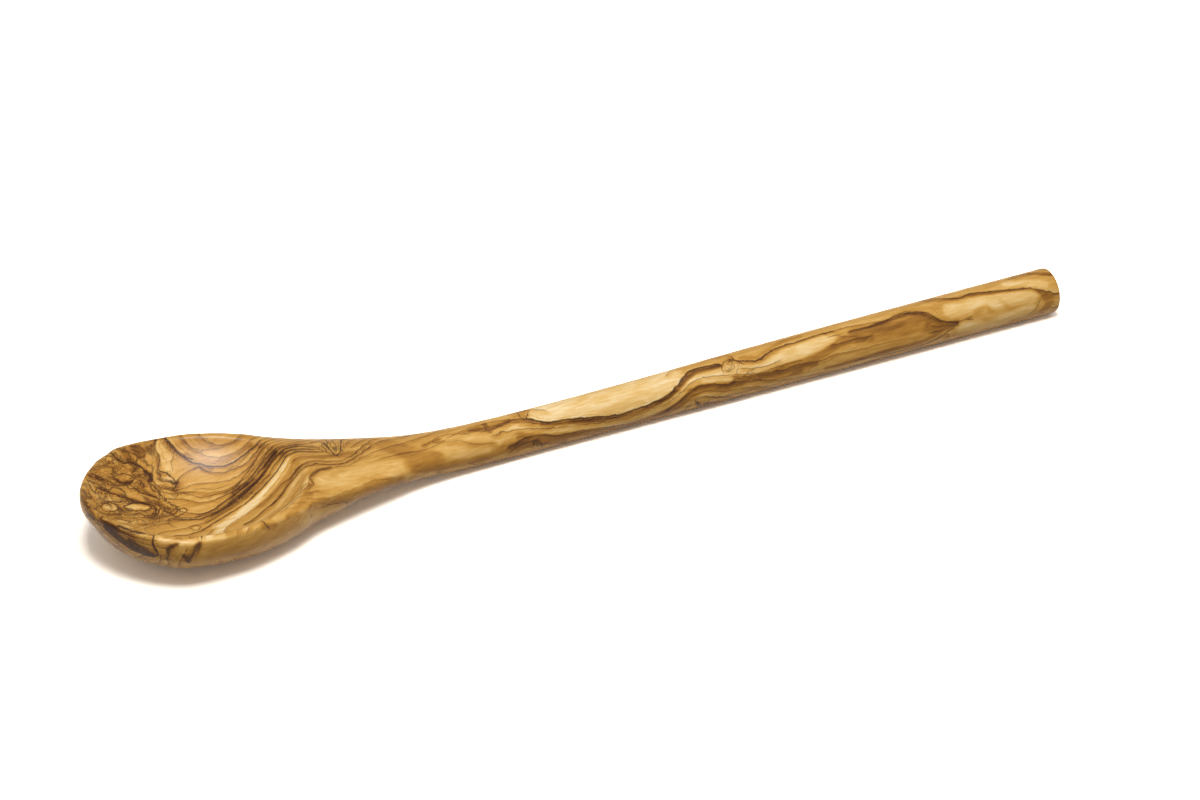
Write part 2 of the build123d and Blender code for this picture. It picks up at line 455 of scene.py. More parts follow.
# %% Veins seen in the photograph, with ring number and strength
VEIN_PIXELS = {
    "far wall": (1.0, 0.5, ((198, 437), (207, 442), (217, 445), (228, 444), (238, 439))),
    "first U": (3.0, 1.0, (
        (165, 439), (174, 447), (178, 452), (188, 459), (195, 464), (203, 466), (214, 467),
        (224, 466), (235, 461), (245, 454), (258, 444))),
    "second U": (4.6, 0.8, (
        (199, 468), (205, 474), (211, 478), (223, 477), (235, 472), (247, 468), (255, 459),
        (260, 452), (265, 445))),
    "faint U": (5.6, 0.3, ((194, 489), (210, 490), (230, 487), (243, 478), (254, 465), (264, 449))),
    "third U": (6.6, 0.8, (
        (180, 494), (193, 495), (203, 498), (217, 496), (231, 491), (238, 485), (250, 477),
        (260, 465), (271, 451), (280, 447))),
    "bundle top": (8.0, 0.9, (
        (200, 514), (211, 512), (228, 499), (245, 487), (258, 472), (270, 457), (280, 448))),
    "bundle": (9.0, 1.0, (
        (124, 512), (140, 516), (160, 519), (180, 519), (201, 519), (217, 511), (231, 502),
        (245, 491), (260, 478), (274, 459), (285, 449), (297, 446), (317, 447))),
    "lip": (11.0, 1.0, (
        (103, 519), (117, 527), (131, 532), (163, 536), (188, 535), (203, 530), (210, 526),
        (224, 517), (245, 504), (261, 489), (277, 471), (285, 457), (297, 451), (320, 452))),
    "cream": (12.0, 0.3, (
        (217, 525), (245, 508), (260, 499), (274, 482), (288, 464), (297, 457), (324, 455))),
    "neck upper": (13.0, 0.6, (
        (290, 478), (299, 467), (309, 461), (326, 461), (344, 460), (357, 453), (370, 443),
        (378, 436))),
    "neck": (14.0, 0.9, (
        (240, 525), (253, 521), (265, 509), (278, 499), (288, 485), (298, 472), (305, 467),
        (316, 463), (333, 465), (346, 463), (356, 456), (367, 446), (379, 437))),
    "neck lower": (15.0, 0.5, (
        (262, 521), (275, 513), (289, 503), (299, 494), (308, 486), (311, 476), (319, 469),
        (333, 467), (347, 465), (361, 457), (376, 451), (390, 446))),
    "under patch": (17.0, 0.3, (
        (306, 497), (327, 499), (347, 491), (361, 486), (374, 480), (396, 478), (407, 471),
        (426, 471), (447, 469))),
    "neck thread": (15.4, 0.5, (
        (423, 444), (434, 437), (444, 431), (454, 427), (463, 421), (476, 420), (490, 416))),
    "lower band": (18.0, 0.7, (
        (461, 464), (490, 457), (504, 450), (519, 441), (530, 436), (544, 434), (560, 436))),
    "handle": (16.0, 1.0, (
        (526, 418), (537, 421), (549, 423), (563, 420), (584, 418), (606, 417), (623, 414),
        (634, 410), (649, 405), (663, 399), (674, 390), (681, 381), (686, 374), (693, 369),
        (706, 367), (717, 364), (723, 361))),
    "second band": (18.0, 0.6, (
        (563, 434), (584, 430), (606, 427), (627, 424), (641, 419), (663, 411), (677, 403),
        (689, 393), (696, 387), (710, 384), (727, 386), (734, 380))),
    "under band": (20.0, 0.7, (
        (663, 420), (677, 414), (689, 406), (696, 399), (706, 396), (720, 397), (734, 397),
        (749, 394), (770, 390), (800, 383))),
    "far": (15.0, 0.9, (
        (731, 361), (743, 361), (754, 362), (761, 359), (770, 351), (781, 346), (800, 341),
        (813, 336), (830, 332))),
    "lens top": (15.0, 0.5, (
        (847, 327), (863, 324), (880, 322), (897, 315), (913, 312), (927, 312), (935, 318),
        (947, 322), (960, 322))),
    "end": (14.0, 0.8, (
        (907, 303), (930, 299), (947, 298), (960, 298), (967, 294), (980, 292), (997, 291),
        (1013, 289), (1030, 288), (1040, 290), (1050, 292), (1056, 295))),
    "lens foot": (18.0, 0.5, (
        (950, 330), (938, 338), (922, 345), (897, 352), (880, 357), (847, 367), (813, 375),
        (780, 380))),
    "wavy": (4.0, 1.0, (
        (158, 439), (148, 443), (147, 449), (154, 457), (158, 464), (160, 471), (167, 477),
        (174, 481), (176, 484), (174, 488))),
    "dark band": (6.0, 1.0, ((113, 455), (128, 461), (140, 468), (148, 474), (150, 481))),
    "slanting": (8.0, 0.8, ((101, 485), (117, 491), (134, 499), (154, 504), (167, 514))),
    "first eye": (8.5, 0.8, (
        (101, 508), (105, 504), (113, 504), (118, 508), (113, 511), (105, 511), (101, 508))),
    "second eye": (8.5, 0.8, (
        (124, 508), (130, 504), (144, 504), (151, 508), (144, 512), (130, 512), (124, 508))),
    "side hook": (11.0, 0.9, ((202, 537), (201, 543), (198, 552), (194, 560))),
    "side blob": (9.0, 0.9, ((180, 539), (172, 544), (168, 552), (165, 558))),
    "side end": (14.0, 0.3, ((238, 530), (236, 540), (232, 550))),
    "side neck": (17.0, 0.2, ((262, 530), (282, 534), (300, 525))),
    "front side": (7.0, 0.6, ((88, 516), (102, 525), (123, 539), (137, 552), (156, 556))),
}
print(f"{len(VEIN_PIXELS)} veins read from the photograph")

# %% [markdown]
# A pixel is carried to the skin as a ray from the camera, which stops where it meets the mesh. A
# chain is filled in first, so that its marks lie a few pixels apart.

# %% Carry pixels to the skin
skin_tree = BVHTree.FromPolygons([v.co for v in spoon_mesh.vertices],
                                 [p.vertices for p in spoon_mesh.polygons])
VEIN_GAP = 7.0
BRUSH_GAP = 12.0
PEN_GAP = 6.0


def on_skin(pixels, gap):
    """The chain of pixels, filled in to a small gap, as points on the spoon in millimetres."""
    points = []
    for start, end in zip(pixels[:-1], pixels[1:]):
        steps = max(1, round(np.hypot(end[0] - start[0], end[1] - start[1]) / gap))
        for step in range(steps + (end == pixels[-1])):
            share = step / steps
            pixel = [a + share * (b - a) for a, b in zip(start, end)]
            place = skin_tree.ray_cast(camera.location, view_ray(pixel))[0]
            if place is not None:
                points.append(place / MM)
    return np.array(points)


marks, rings = [], []
for ring, strength, pixels in VEIN_PIXELS.values():
    points = on_skin(pixels, VEIN_GAP)
    marks.append(points)
    rings.append(np.full(len(points), ring))
marks = np.concatenate(marks)
rings = np.concatenate(rings)
print(f"{len(marks)} marks on the skin")

# %% [markdown]
# Wood is drawn out along the trunk, so distances along the spoon count for less than those across
# it. The field is the sum of the distances to all marks, each with its own weight, and a plain
# slope. The weights come from one set of linear equations.

# %% The ring field
ALONG_SHARE = 0.6
SLACK = 0.3
LEAST_REACH = 0.2
BATCHES = 60
STRETCH = np.array([ALONG_SHARE, 1.0, 1.0])
spots = marks * STRETCH
gaps = np.linalg.norm(spots[:, None] - spots[None], axis=-1)
slope_terms = np.concatenate([np.ones((len(spots), 1)), spots], axis=1)
system = np.block([[gaps - SLACK * np.eye(len(spots)), slope_terms],
                   [slope_terms.T, np.zeros((4, 4))]])
weights = np.linalg.solve(system, np.concatenate([rings, np.zeros(4)]))

count = len(spoon_mesh.vertices)
skin_points = np.empty(count * 3)
spoon_mesh.vertices.foreach_get("co", skin_points)
skin_points = skin_points.reshape(-1, 3) / MM
skin_normals = np.empty(count * 3)
spoon_mesh.vertices.foreach_get("normal", skin_normals)
skin_normals = skin_normals.reshape(-1, 3)

ring_field = np.empty(count)
steepness = np.empty(count)
nearest = np.empty(count)
for part in np.array_split(np.arange(count), BATCHES):
    here = skin_points[part] * STRETCH
    apart = here[:, None] - spots[None]
    reach = np.linalg.norm(apart, axis=-1)
    ring_field[part] = reach @ weights[:-4] + weights[-4] + here @ weights[-3:]
    pull = weights[:-4] / np.maximum(reach, LEAST_REACH)
    gradient = (np.einsum("ij,ijk->ik", pull, apart) + weights[-3:]) * STRETCH
    normal = skin_normals[part]
    gradient -= (gradient * normal).sum(1, keepdims=True) * normal
    steepness[part] = np.linalg.norm(gradient, axis=1)
    nearest[part] = reach.min(axis=1)
print(f"rings {ring_field.min():.1f} to {ring_field.max():.1f}, {np.median(steepness):.2f} per mm")

# %% [markdown]
# ## Brush marks
# Between the veins the wood runs from cream sapwood to brown heartwood. Those zones are laid on
# like paint: each brush mark has a tone, from 0 for the darkest brown to 1 for cream, a width in
# pixels, and a chain of pixels. A point of the skin takes the mean of the marks near it, and a
# thin first coat of honey brown covers what no mark reaches. A few marks also paint light and
# shade into the colour: a painted highlight on the near rim's lip, and painted shade on the side
# wall that faces the camera.

# %% Tones seen in the photograph
TONE_PIXELS = {
    "cream edge": (0.46, 1.3, ((264, 496), (272, 487), (285, 470), (291, 458))),
    "far wall": (0.6, 9, ((186, 437), (202, 440), (224, 440), (246, 436))),
    "upper hollow": (0.68, 7, ((196, 456), (214, 459), (230, 454), (242, 448))),
    "under first U": (0.44, 2.2, (
        (186, 455), (198, 461), (212, 463.5), (226, 461), (240, 453), (250, 446))),
    "middle hollow": (0.72, 8, ((184, 477), (200, 484), (218, 487), (238, 480))),
    "low hollow": (0.68, 6, ((186, 505), (212, 504), (232, 494))),
    "hollow foot": (0.7, 5, ((150, 527), (170, 527), (192, 525), (205, 519))),
    "bundle shade": (0.34, 2.0, (
        (240, 497), (249, 489), (256, 481), (262, 473), (268, 464), (275, 453))),
    "bundle shade low": (0.42, 2.0, ((206, 521), (222, 511), (236, 501))),
    "wedge": (0.28, 2.2, ((231, 497), (239, 489), (247, 484))),
    "hollow light stripe": (0.72, 2.2, ((222, 507), (240, 494), (252, 483), (262, 470))),
    "cream band": (0.95, 4.8, (
        (207, 537), (221, 527), (241, 514), (259, 498), (271, 485), (280, 473), (288, 461))),
    "brown band": (0.57, 4.2, (
        (262, 505), (270, 498), (278, 489), (287, 477), (295, 465), (304, 457))),
    "brown band edge": (0.42, 1.6, ((272, 505), (280, 495), (288, 483), (296, 471), (303, 464))),
    "second cream": (0.82, 2.4, (
        (246, 529), (262, 518), (277, 508), (285, 497), (295, 481), (306, 468))),
    "third brown": (0.56, 1.6, ((270, 519), (284, 508), (294, 495), (303, 481), (311, 470))),
    "back pale": (0.78, 3.5, ((276, 518), (292, 505), (303, 490), (311, 478))),
    "back mottle": (0.52, 4, ((290, 516), (302, 503), (308, 494))),
    "ridge brown": (0.5, 3.5, ((292, 461), (306, 456), (322, 457), (340, 457), (352, 452))),
    "ridge orange": (0.62, 3, ((300, 464), (320, 462), (340, 463))),
    "pale patch": (0.76, 7, (
        (321, 482), (338, 480), (354, 474), (372, 470), (390, 468), (404, 467))),
    "pale bright": (0.98, 2.2, ((320, 479), (323, 481))),
    "pale bright two": (0.92, 2.5, ((341, 476), (349, 473))),
    "pale orange": (0.7, 3, ((330, 474), (334, 470), (345, 468))),
    "patch rim shade": (0.46, 2.4, ((330, 468), (318, 470), (311, 476), (312, 483), (305, 490))),
    "patch foot": (0.54, 4.5, ((306, 505), (330, 505), (352, 498), (376, 489), (400, 483))),
    "foot light": (0.76, 2, ((300, 512), (307, 506), (309, 500))),
    "foot light two": (0.72, 1.6, ((300, 521), (304, 515))),
    "upper neck": (0.58, 6, ((350, 446), (375, 441), (395, 445))),
    "upper neck light": (0.74, 3, ((352, 449), (366, 443), (388, 437))),
    "neck brown": (0.5, 8, ((388, 446), (404, 451), (420, 457), (436, 462))),
    "neck brown end": (0.46, 5, ((408, 465), (424, 468), (440, 468))),
    "neck edge brown": (0.48, 2.4, ((424, 446), (438, 440), (432, 446))),
    "neck side": (0.5, 4, ((440, 468), (461, 463), (490, 456), (505, 449))),
    "neck golden": (0.74, 2, ((419, 475), (461, 468), (497, 458), (519, 453), (533, 447))),
    "neck pale": (0.76, 4, ((434, 446), (452, 452), (470, 454), (486, 450))),
    "neck pale two": (0.74, 3, ((446, 440), (462, 437), (484, 440), (500, 438), (510, 432))),
    "neck pale top": (0.84, 3, ((470, 422), (490, 416), (518, 410))),
    "neck light end": (0.86, 3, ((498, 441), (508, 434), (516, 427))),
    "brown wisp one": (0.36, 2, ((470, 431), (480, 429), (490, 431))),
    "brown wisp two": (0.34, 1.8, ((484, 424), (490, 429))),
    "brown wisp three": (0.38, 2, ((492, 428), (500, 425), (509, 421))),
    "brown wisp four": (0.6, 2, ((448, 444), (462, 443), (478, 446), (496, 444))),
    "before hook": (0.56, 4, ((512, 414), (520, 413), (526, 410))),
    "hook brown": (0.5, 3, ((515, 421), (524, 422), (532, 425))),
    "dark neck end": (0.4, 4, ((511, 447), (524, 443), (547, 441), (563, 441))),
    "pin dark": (0.3, 1.4, ((534, 441), (539, 443))),
    "pale field": (0.92, 11, ((541, 411), (577, 403), (620, 393), (652, 384), (668, 376))),
    "pale field foot": (0.9, 4, ((548, 417), (580, 413), (620, 408), (648, 399), (668, 386))),
    "field top light": (0.84, 3, ((560, 398), (600, 388), (640, 377))),
    "above swirl": (0.54, 2.4, ((664, 370), (680, 365), (700, 360), (718, 358))),
    "first band": (0.4, 1.8, (
        (541, 425), (556, 424.5), (577, 422.5), (606, 420), (629, 416.5), (649, 409), (666, 400),
        (678, 390), (686, 380), (696, 372), (708, 369), (720, 366))),
    "between bands": (0.84, 3.4, (
        (520, 427), (534, 429), (553, 430), (577, 428), (606, 425), (634, 419), (656, 411),
        (674, 401), (684, 390), (695, 380), (710, 375), (722, 372))),
    "honey start": (0.62, 3, ((522, 424), (536, 426), (550, 428))),
    "lump pale": (0.92, 3.5, ((704, 379), (716, 376), (730, 377))),
    "swirl pale": (0.86, 2.2, ((727, 367), (730, 369))),
    "second band": (0.42, 3.2, (
        (520, 438), (541, 437), (563, 436), (584, 433), (613, 429), (641, 423), (663, 414),
        (680, 404), (691, 393), (706, 387), (727, 387), (749, 380), (777, 376), (800, 370))),
    "second band dark": (0.3, 1.2, (
        (640, 424), (663, 414), (680, 401), (690, 391), (702, 386), (720, 386), (734, 383))),
    "band golden": (0.78, 2, (
        (656, 421), (677, 414), (690, 404), (704, 396), (727, 394), (749, 388), (783, 383))),
    "under golden": (0.42, 2.4, ((620, 431), (655, 425), (680, 416), (700, 408))),
    "lower thread": (0.4, 1.8, ((712, 404), (735, 400), (763, 393), (800, 384))),
    "crack dark": (0.26, 1.4, ((696, 402), (701, 406), (706, 405))),
    "crack dark two": (0.28, 1.4, ((706, 403), (712, 403), (718, 402))),
    "right of swirl": (0.88, 5, ((735, 369), (750, 369), (766, 367), (784, 357), (800, 351))),
    "far shade": (0.52, 2, ((741, 358), (757, 358), (768, 350), (784, 341), (800, 336))),
    "far top": (0.8, 2.6, ((760, 345), (775, 338), (800, 331))),
    "brown fan": (0.4, 3.4, ((760, 376), (778, 370), (800, 365), (815, 362))),
    "fan light": (0.7, 1.6, ((745, 384), (770, 379), (790, 374))),
    "ellipse": (0.9, 5.5, ((784, 357), (796, 352), (810, 347), (822, 342), (829, 338))),
    "ellipse left": (0.88, 4, ((772, 364), (784, 359))),
    "small lens": (0.45, 3.4, (
        (784, 368), (804, 363), (822, 355), (834, 346), (846, 339), (860, 338))),
    "small lens tip": (0.48, 2.2, ((845, 341), (862, 340))),
    "golden thread": (0.74, 1.3, ((812, 369), (836, 358), (852, 348), (866, 341), (872, 337))),
    "lens": (0.38, 6.5, ((858, 336), (875, 334), (900, 328), (918, 323), (930, 324), (938, 327))),
    "lens dark top": (0.34, 1.5, (
        (850, 332), (870, 327), (890, 320), (908, 314), (922, 314), (932, 319), (942, 325))),
    "lens tip": (0.32, 2.2, ((940, 326), (950, 324.5), (957, 322.5))),
    "lens glow": (0.62, 3.4, ((876, 337), (895, 333), (912, 327), (922, 325))),
    "lens glow two": (0.6, 1.6, ((914, 328), (924, 323))),
    "lens foot": (0.38, 1.8, (
        (938, 334), (922, 342), (900, 348), (876, 354), (850, 362), (826, 368))),
    "under lens light": (0.8, 2, ((940, 340), (915, 349), (880, 357), (845, 367), (812, 377))),
    "under lens brown": (0.46, 1.3, ((915, 352), (880, 360), (840, 372), (800, 384))),
    "stripe": (0.74, 2.2, ((800, 388), (840, 377), (880, 366), (930, 352), (975, 338))),
    "above lens": (0.86, 3.6, ((797, 334), (847, 320), (880, 311), (897, 306))),
    "above lens shade": (0.74, 1.5, ((850, 325), (880, 318), (900, 309), (930, 305))),
    "top golden": (0.84, 3, ((880, 300), (920, 290), (960, 280), (1000, 271))),
    "end pale": (0.88, 6, ((950, 310), (966, 306), (990, 302), (1013, 298), (1031, 295))),
    "end pale foot": (0.84, 5, ((963, 328), (985, 324), (1010, 316), (1030, 309))),
    "end cloud": (0.62, 2.4, ((976, 312), (986, 306), (992, 313))),
    "end cloud two": (0.66, 2, ((1000, 300), (1008, 307))),
    "end cloud three": (0.66, 1.8, ((984, 320), (996, 317))),
    "end line shade": (0.5, 1.6, (
        (915, 302), (940, 301), (952, 299), (968, 295), (990, 293), (1012, 290), (1030, 289),
        (1042, 293), (1052, 296))),
    "end patch": (0.42, 3.6, ((1046, 297), (1050, 302), (1046, 308), (1042, 312))),
    "end patch light": (0.56, 1.4, ((1050, 300), (1053, 304))),
    "end foot": (0.6, 2, ((1010, 322), (1030, 316), (1045, 311))),
    "top end": (0.4, 1.8, ((1010, 277), (1024, 274), (1040, 273), (1050, 274))),
    "top end two": (0.46, 1.3, ((1020, 271), (1034, 270), (1046, 270))),
    "end cream": (0.84, 3, ((1005, 284), (1025, 282), (1045, 284))),
    "dark swirl one": (0.36, 2.2, ((89.5, 476), (95.5, 478), (102.5, 481), (109, 484))),
    "dark swirl two": (0.36, 2, ((117, 481), (123.5, 483.5), (131, 481.5))),
    "light in swirl": (0.66, 2.2, ((117, 477.5), (122.5, 476.5))),
    "brown swirl": (0.48, 3.5, ((134, 471), (137, 475), (141, 479.5), (142.5, 485))),
    "dark corner": (0.34, 2, ((145.5, 471.5), (148.5, 476), (150, 480))),
    "violet brown": (0.42, 3, ((121, 449.5), (127, 456.5), (131, 460))),
    "violet brown two": (0.4, 3.5, ((134, 448), (139.5, 453), (141, 456.5))),
    "rim light one": (0.8, 2, ((106, 458.5), (112.5, 459.5), (115.5, 462.5))),
    "rim light two": (0.72, 1.8, ((95.5, 465), (102.5, 463.5), (108.5, 462.5))),
    "rim light three": (0.7, 1.8, ((95.5, 471), (104, 467.5), (112.5, 467))),
    "yellow patch": (0.86, 4, ((151, 452.5), (155.5, 451), (162.5, 448))),
    "yellow patch two": (0.8, 3, ((159.5, 443.5), (165.5, 451), (169, 456.5))),
    "yellow patch three": (0.8, 3.4, ((165.5, 459.5), (167, 465), (171, 471))),
    "patch middle": (0.74, 3, ((141, 461), (148.5, 462.5), (152.5, 466.5))),
    "teardrop light": (0.84, 3, ((154, 476.5), (157.5, 481), (159.5, 483))),
    "teardrop light two": (0.82, 3, ((165.5, 478), (169.5, 481.5), (172.5, 485))),
    "left loop light": (0.84, 1.8, ((90, 483.5), (92, 487.5), (93.5, 489))),
    "slant dark": (0.44, 1.6, (
        (101, 488.5), (109.5, 492), (118.5, 495), (127, 498), (137, 501), (148.5, 505))),
    "slant light": (0.76, 1.8, ((107, 499.5), (114, 498.5), (121, 499.5))),
    "slant light two": (0.8, 2, ((98.5, 496.5), (105.5, 498.5), (111, 499.5))),
    "slant light three": (0.72, 1.6, ((129.5, 495), (137, 497), (142.5, 499.5))),
    "left rim light": (0.78, 2, ((84.5, 488), (88.5, 492.5), (98.5, 495))),
    "first eye": (0.92, 2.6, ((106, 507), (114.5, 508))),
    "second eye": (0.9, 2.6, ((129.5, 507), (135.5, 507), (145.5, 507.5))),
    "between eyes dark": (0.45, 1.2, ((120, 506.5), (122, 511), (125.5, 513))),
    "eye right dark": (0.42, 1.4, ((152.5, 505), (155.5, 508), (155.5, 512.5), (153.5, 514.5))),
    "left of eye dark": (0.42, 1.6, ((89.5, 506.5), (95.5, 508.5), (99, 511.5), (102.5, 513.5))),
    "under eyes dark": (0.44, 1.3, ((107, 514.5), (115.5, 515), (121, 514.5))),
    "under eyes dark two": (0.46, 1.5, ((144, 516.5), (154, 517.5), (162.5, 518))),
    "under eyes light": (0.82, 1.6, ((128.5, 515.5), (137, 516.5), (145.5, 515))),
    "pale cell": (0.9, 2, ((119, 521.5), (124, 521.5), (128, 522.5))),
    "long cell": (0.86, 1.6, ((132.5, 522.5), (139.5, 521.5), (148.5, 521.5))),
    "low brown": (0.4, 2, ((105.5, 522.5), (111, 523.5), (115.5, 526.5))),
    "low golden": (0.72, 3, ((131, 528), (142.5, 530), (154, 528), (165.5, 526.5))),
    "low golden two": (0.8, 2, ((124, 526.5), (134, 527.5))),
    "mid dark": (0.46, 1.8, ((138.5, 489.5), (148.5, 493.5), (154, 496))),
    "mid light": (0.8, 2, ((163.5, 491.5), (169.5, 494), (172.5, 497.5))),
    "mid light two": (0.76, 2, ((159.5, 498), (165.5, 503), (169.5, 506))),
    "mid brown": (0.46, 3, ((159.5, 502.5), (165.5, 508), (172.5, 512.5))),
    "corner light": (0.84, 1.8, ((174, 512.5), (179.5, 511.5), (184, 511))),
    "right cells": (0.74, 2.6, ((168.5, 499.5), (177, 502.5), (179.5, 505))),
    "bead": (0.92, 1.6, ((194.5, 528), (197, 528))),
    "rim brown left": (0.42, 2.4, ((83, 496.5), (84.5, 505), (87.5, 512.5), (92.5, 516.5))),
    "side dark": (0.14, 3.2, ((107, 528), (117, 536.5), (127, 544.5), (135.5, 549.5))),
    "side dark two": (0.2, 3.6, ((131, 542.5), (141, 549.5), (151, 553.5))),
    "side brown": (0.42, 3, ((91, 521), (99.5, 532.5), (111, 542.5), (122.5, 551))),
    "side orange": (0.52, 3, ((102.5, 539.5), (117, 551), (131, 558), (148.5, 563.5))),
    "hatch light": (0.6, 2.6, ((127, 533), (135.5, 538), (145.5, 542.5))),
    "hook light": (0.66, 2, ((145.5, 541), (149.5, 546.5), (152, 551))),
    # Painted highlight: the next two marks paint the lit top of the near rim's lip paler than the
    # wood.
    "rim light": (0.84, 2.2, (
        (155.5, 538), (167, 541), (182.5, 542.5), (202.5, 541), (224, 536.5))),
    "rim light left": (0.78, 1.6, ((121, 529.5), (134, 534.5), (145.5, 537.5))),
    "side gold": (0.62, 6, ((162.5, 551), (174, 556.5), (202.5, 553.5))),
    # Painted shade: these three marks make the side wall that faces the camera darker, most towards
    # the bottom. This is partly the wood's own brown and partly the shade the wall stands in.
    "side wall": (0.54, 9, ((216, 552), (240, 549), (262, 543))),
    "side wall upper": (0.62, 4, ((205, 545), (230, 545), (255, 539))),
    "side wall right": (0.56, 6, ((270, 536), (285, 529), (297, 520))),
    "side light": (0.66, 3, ((249.5, 536.5), (258.5, 533.5), (265.5, 531))),
    "side light two": (0.64, 3, ((279.5, 528), (288.5, 522.5), (294, 516.5))),
    "side brown two": (0.46, 3, ((264, 526.5), (271, 528), (274, 526.5))),
    "brown hook": (0.36, 2, ((176, 544.5), (169, 548), (167, 553.5))),
    "brown blob": (0.2, 3, ((199.5, 544), (195.5, 549.5), (192, 555), (188.5, 560))),
    "blob left": (0.26, 2.4, ((184, 556), (187.5, 560))),
    "bundle brown": (0.58, 2.4, ((260, 448), (254, 461), (247, 473), (238, 483), (226, 491))),
}
print(f"{len(TONE_PIXELS)} brush marks")

# %% Lay the brush marks on
SOFTNESS = 3.4


def brush(points, chain, width):
    """How much each point is covered by a brush of a width drawn along a chain."""
    far = np.full(len(points), 1e9)
    for start, end in zip(chain[:-1], chain[1:]):
        run = end - start
        share = np.clip(((points - start) @ run) / max(run @ run, 1e-9), 0, 1)
        far = np.minimum(far, np.linalg.norm(points - start - share[:, None] * run, axis=1))
    return np.exp(-(far / width) ** SOFTNESS)


PIXEL_MM = CAMERA_DISTANCE / MM / (CAMERA_LENS / SENSOR * PHOTO_WIDTH)
BASE_TONE = 0.68
BASE_COVER = 0.1
paint = np.full(count, BASE_TONE * BASE_COVER)
cover = np.full(count, BASE_COVER)
for tone, width, pixels in TONE_PIXELS.values():
    laid = brush(skin_points, on_skin(pixels, BRUSH_GAP), width * PIXEL_MM)
    paint += tone * laid
    cover += laid
tone_field = paint / cover
print(f"tone {tone_field.min():.2f} to {tone_field.max():.2f}, a pixel is {PIXEL_MM:.2f} mm")

# %% [markdown]
# ## Pen strokes
# In the burl and round the knots the rings are too crumpled for one smooth field. Their short dark
# veins are drawn one by one instead, as a maker inks a figure on plain wood. Each stroke has a
# strength, a width in pixels and a chain of pixels. The skin's points keep how far they lie to the
# left or right of the nearest stroke, so a line stays sharp between the points of the mesh.

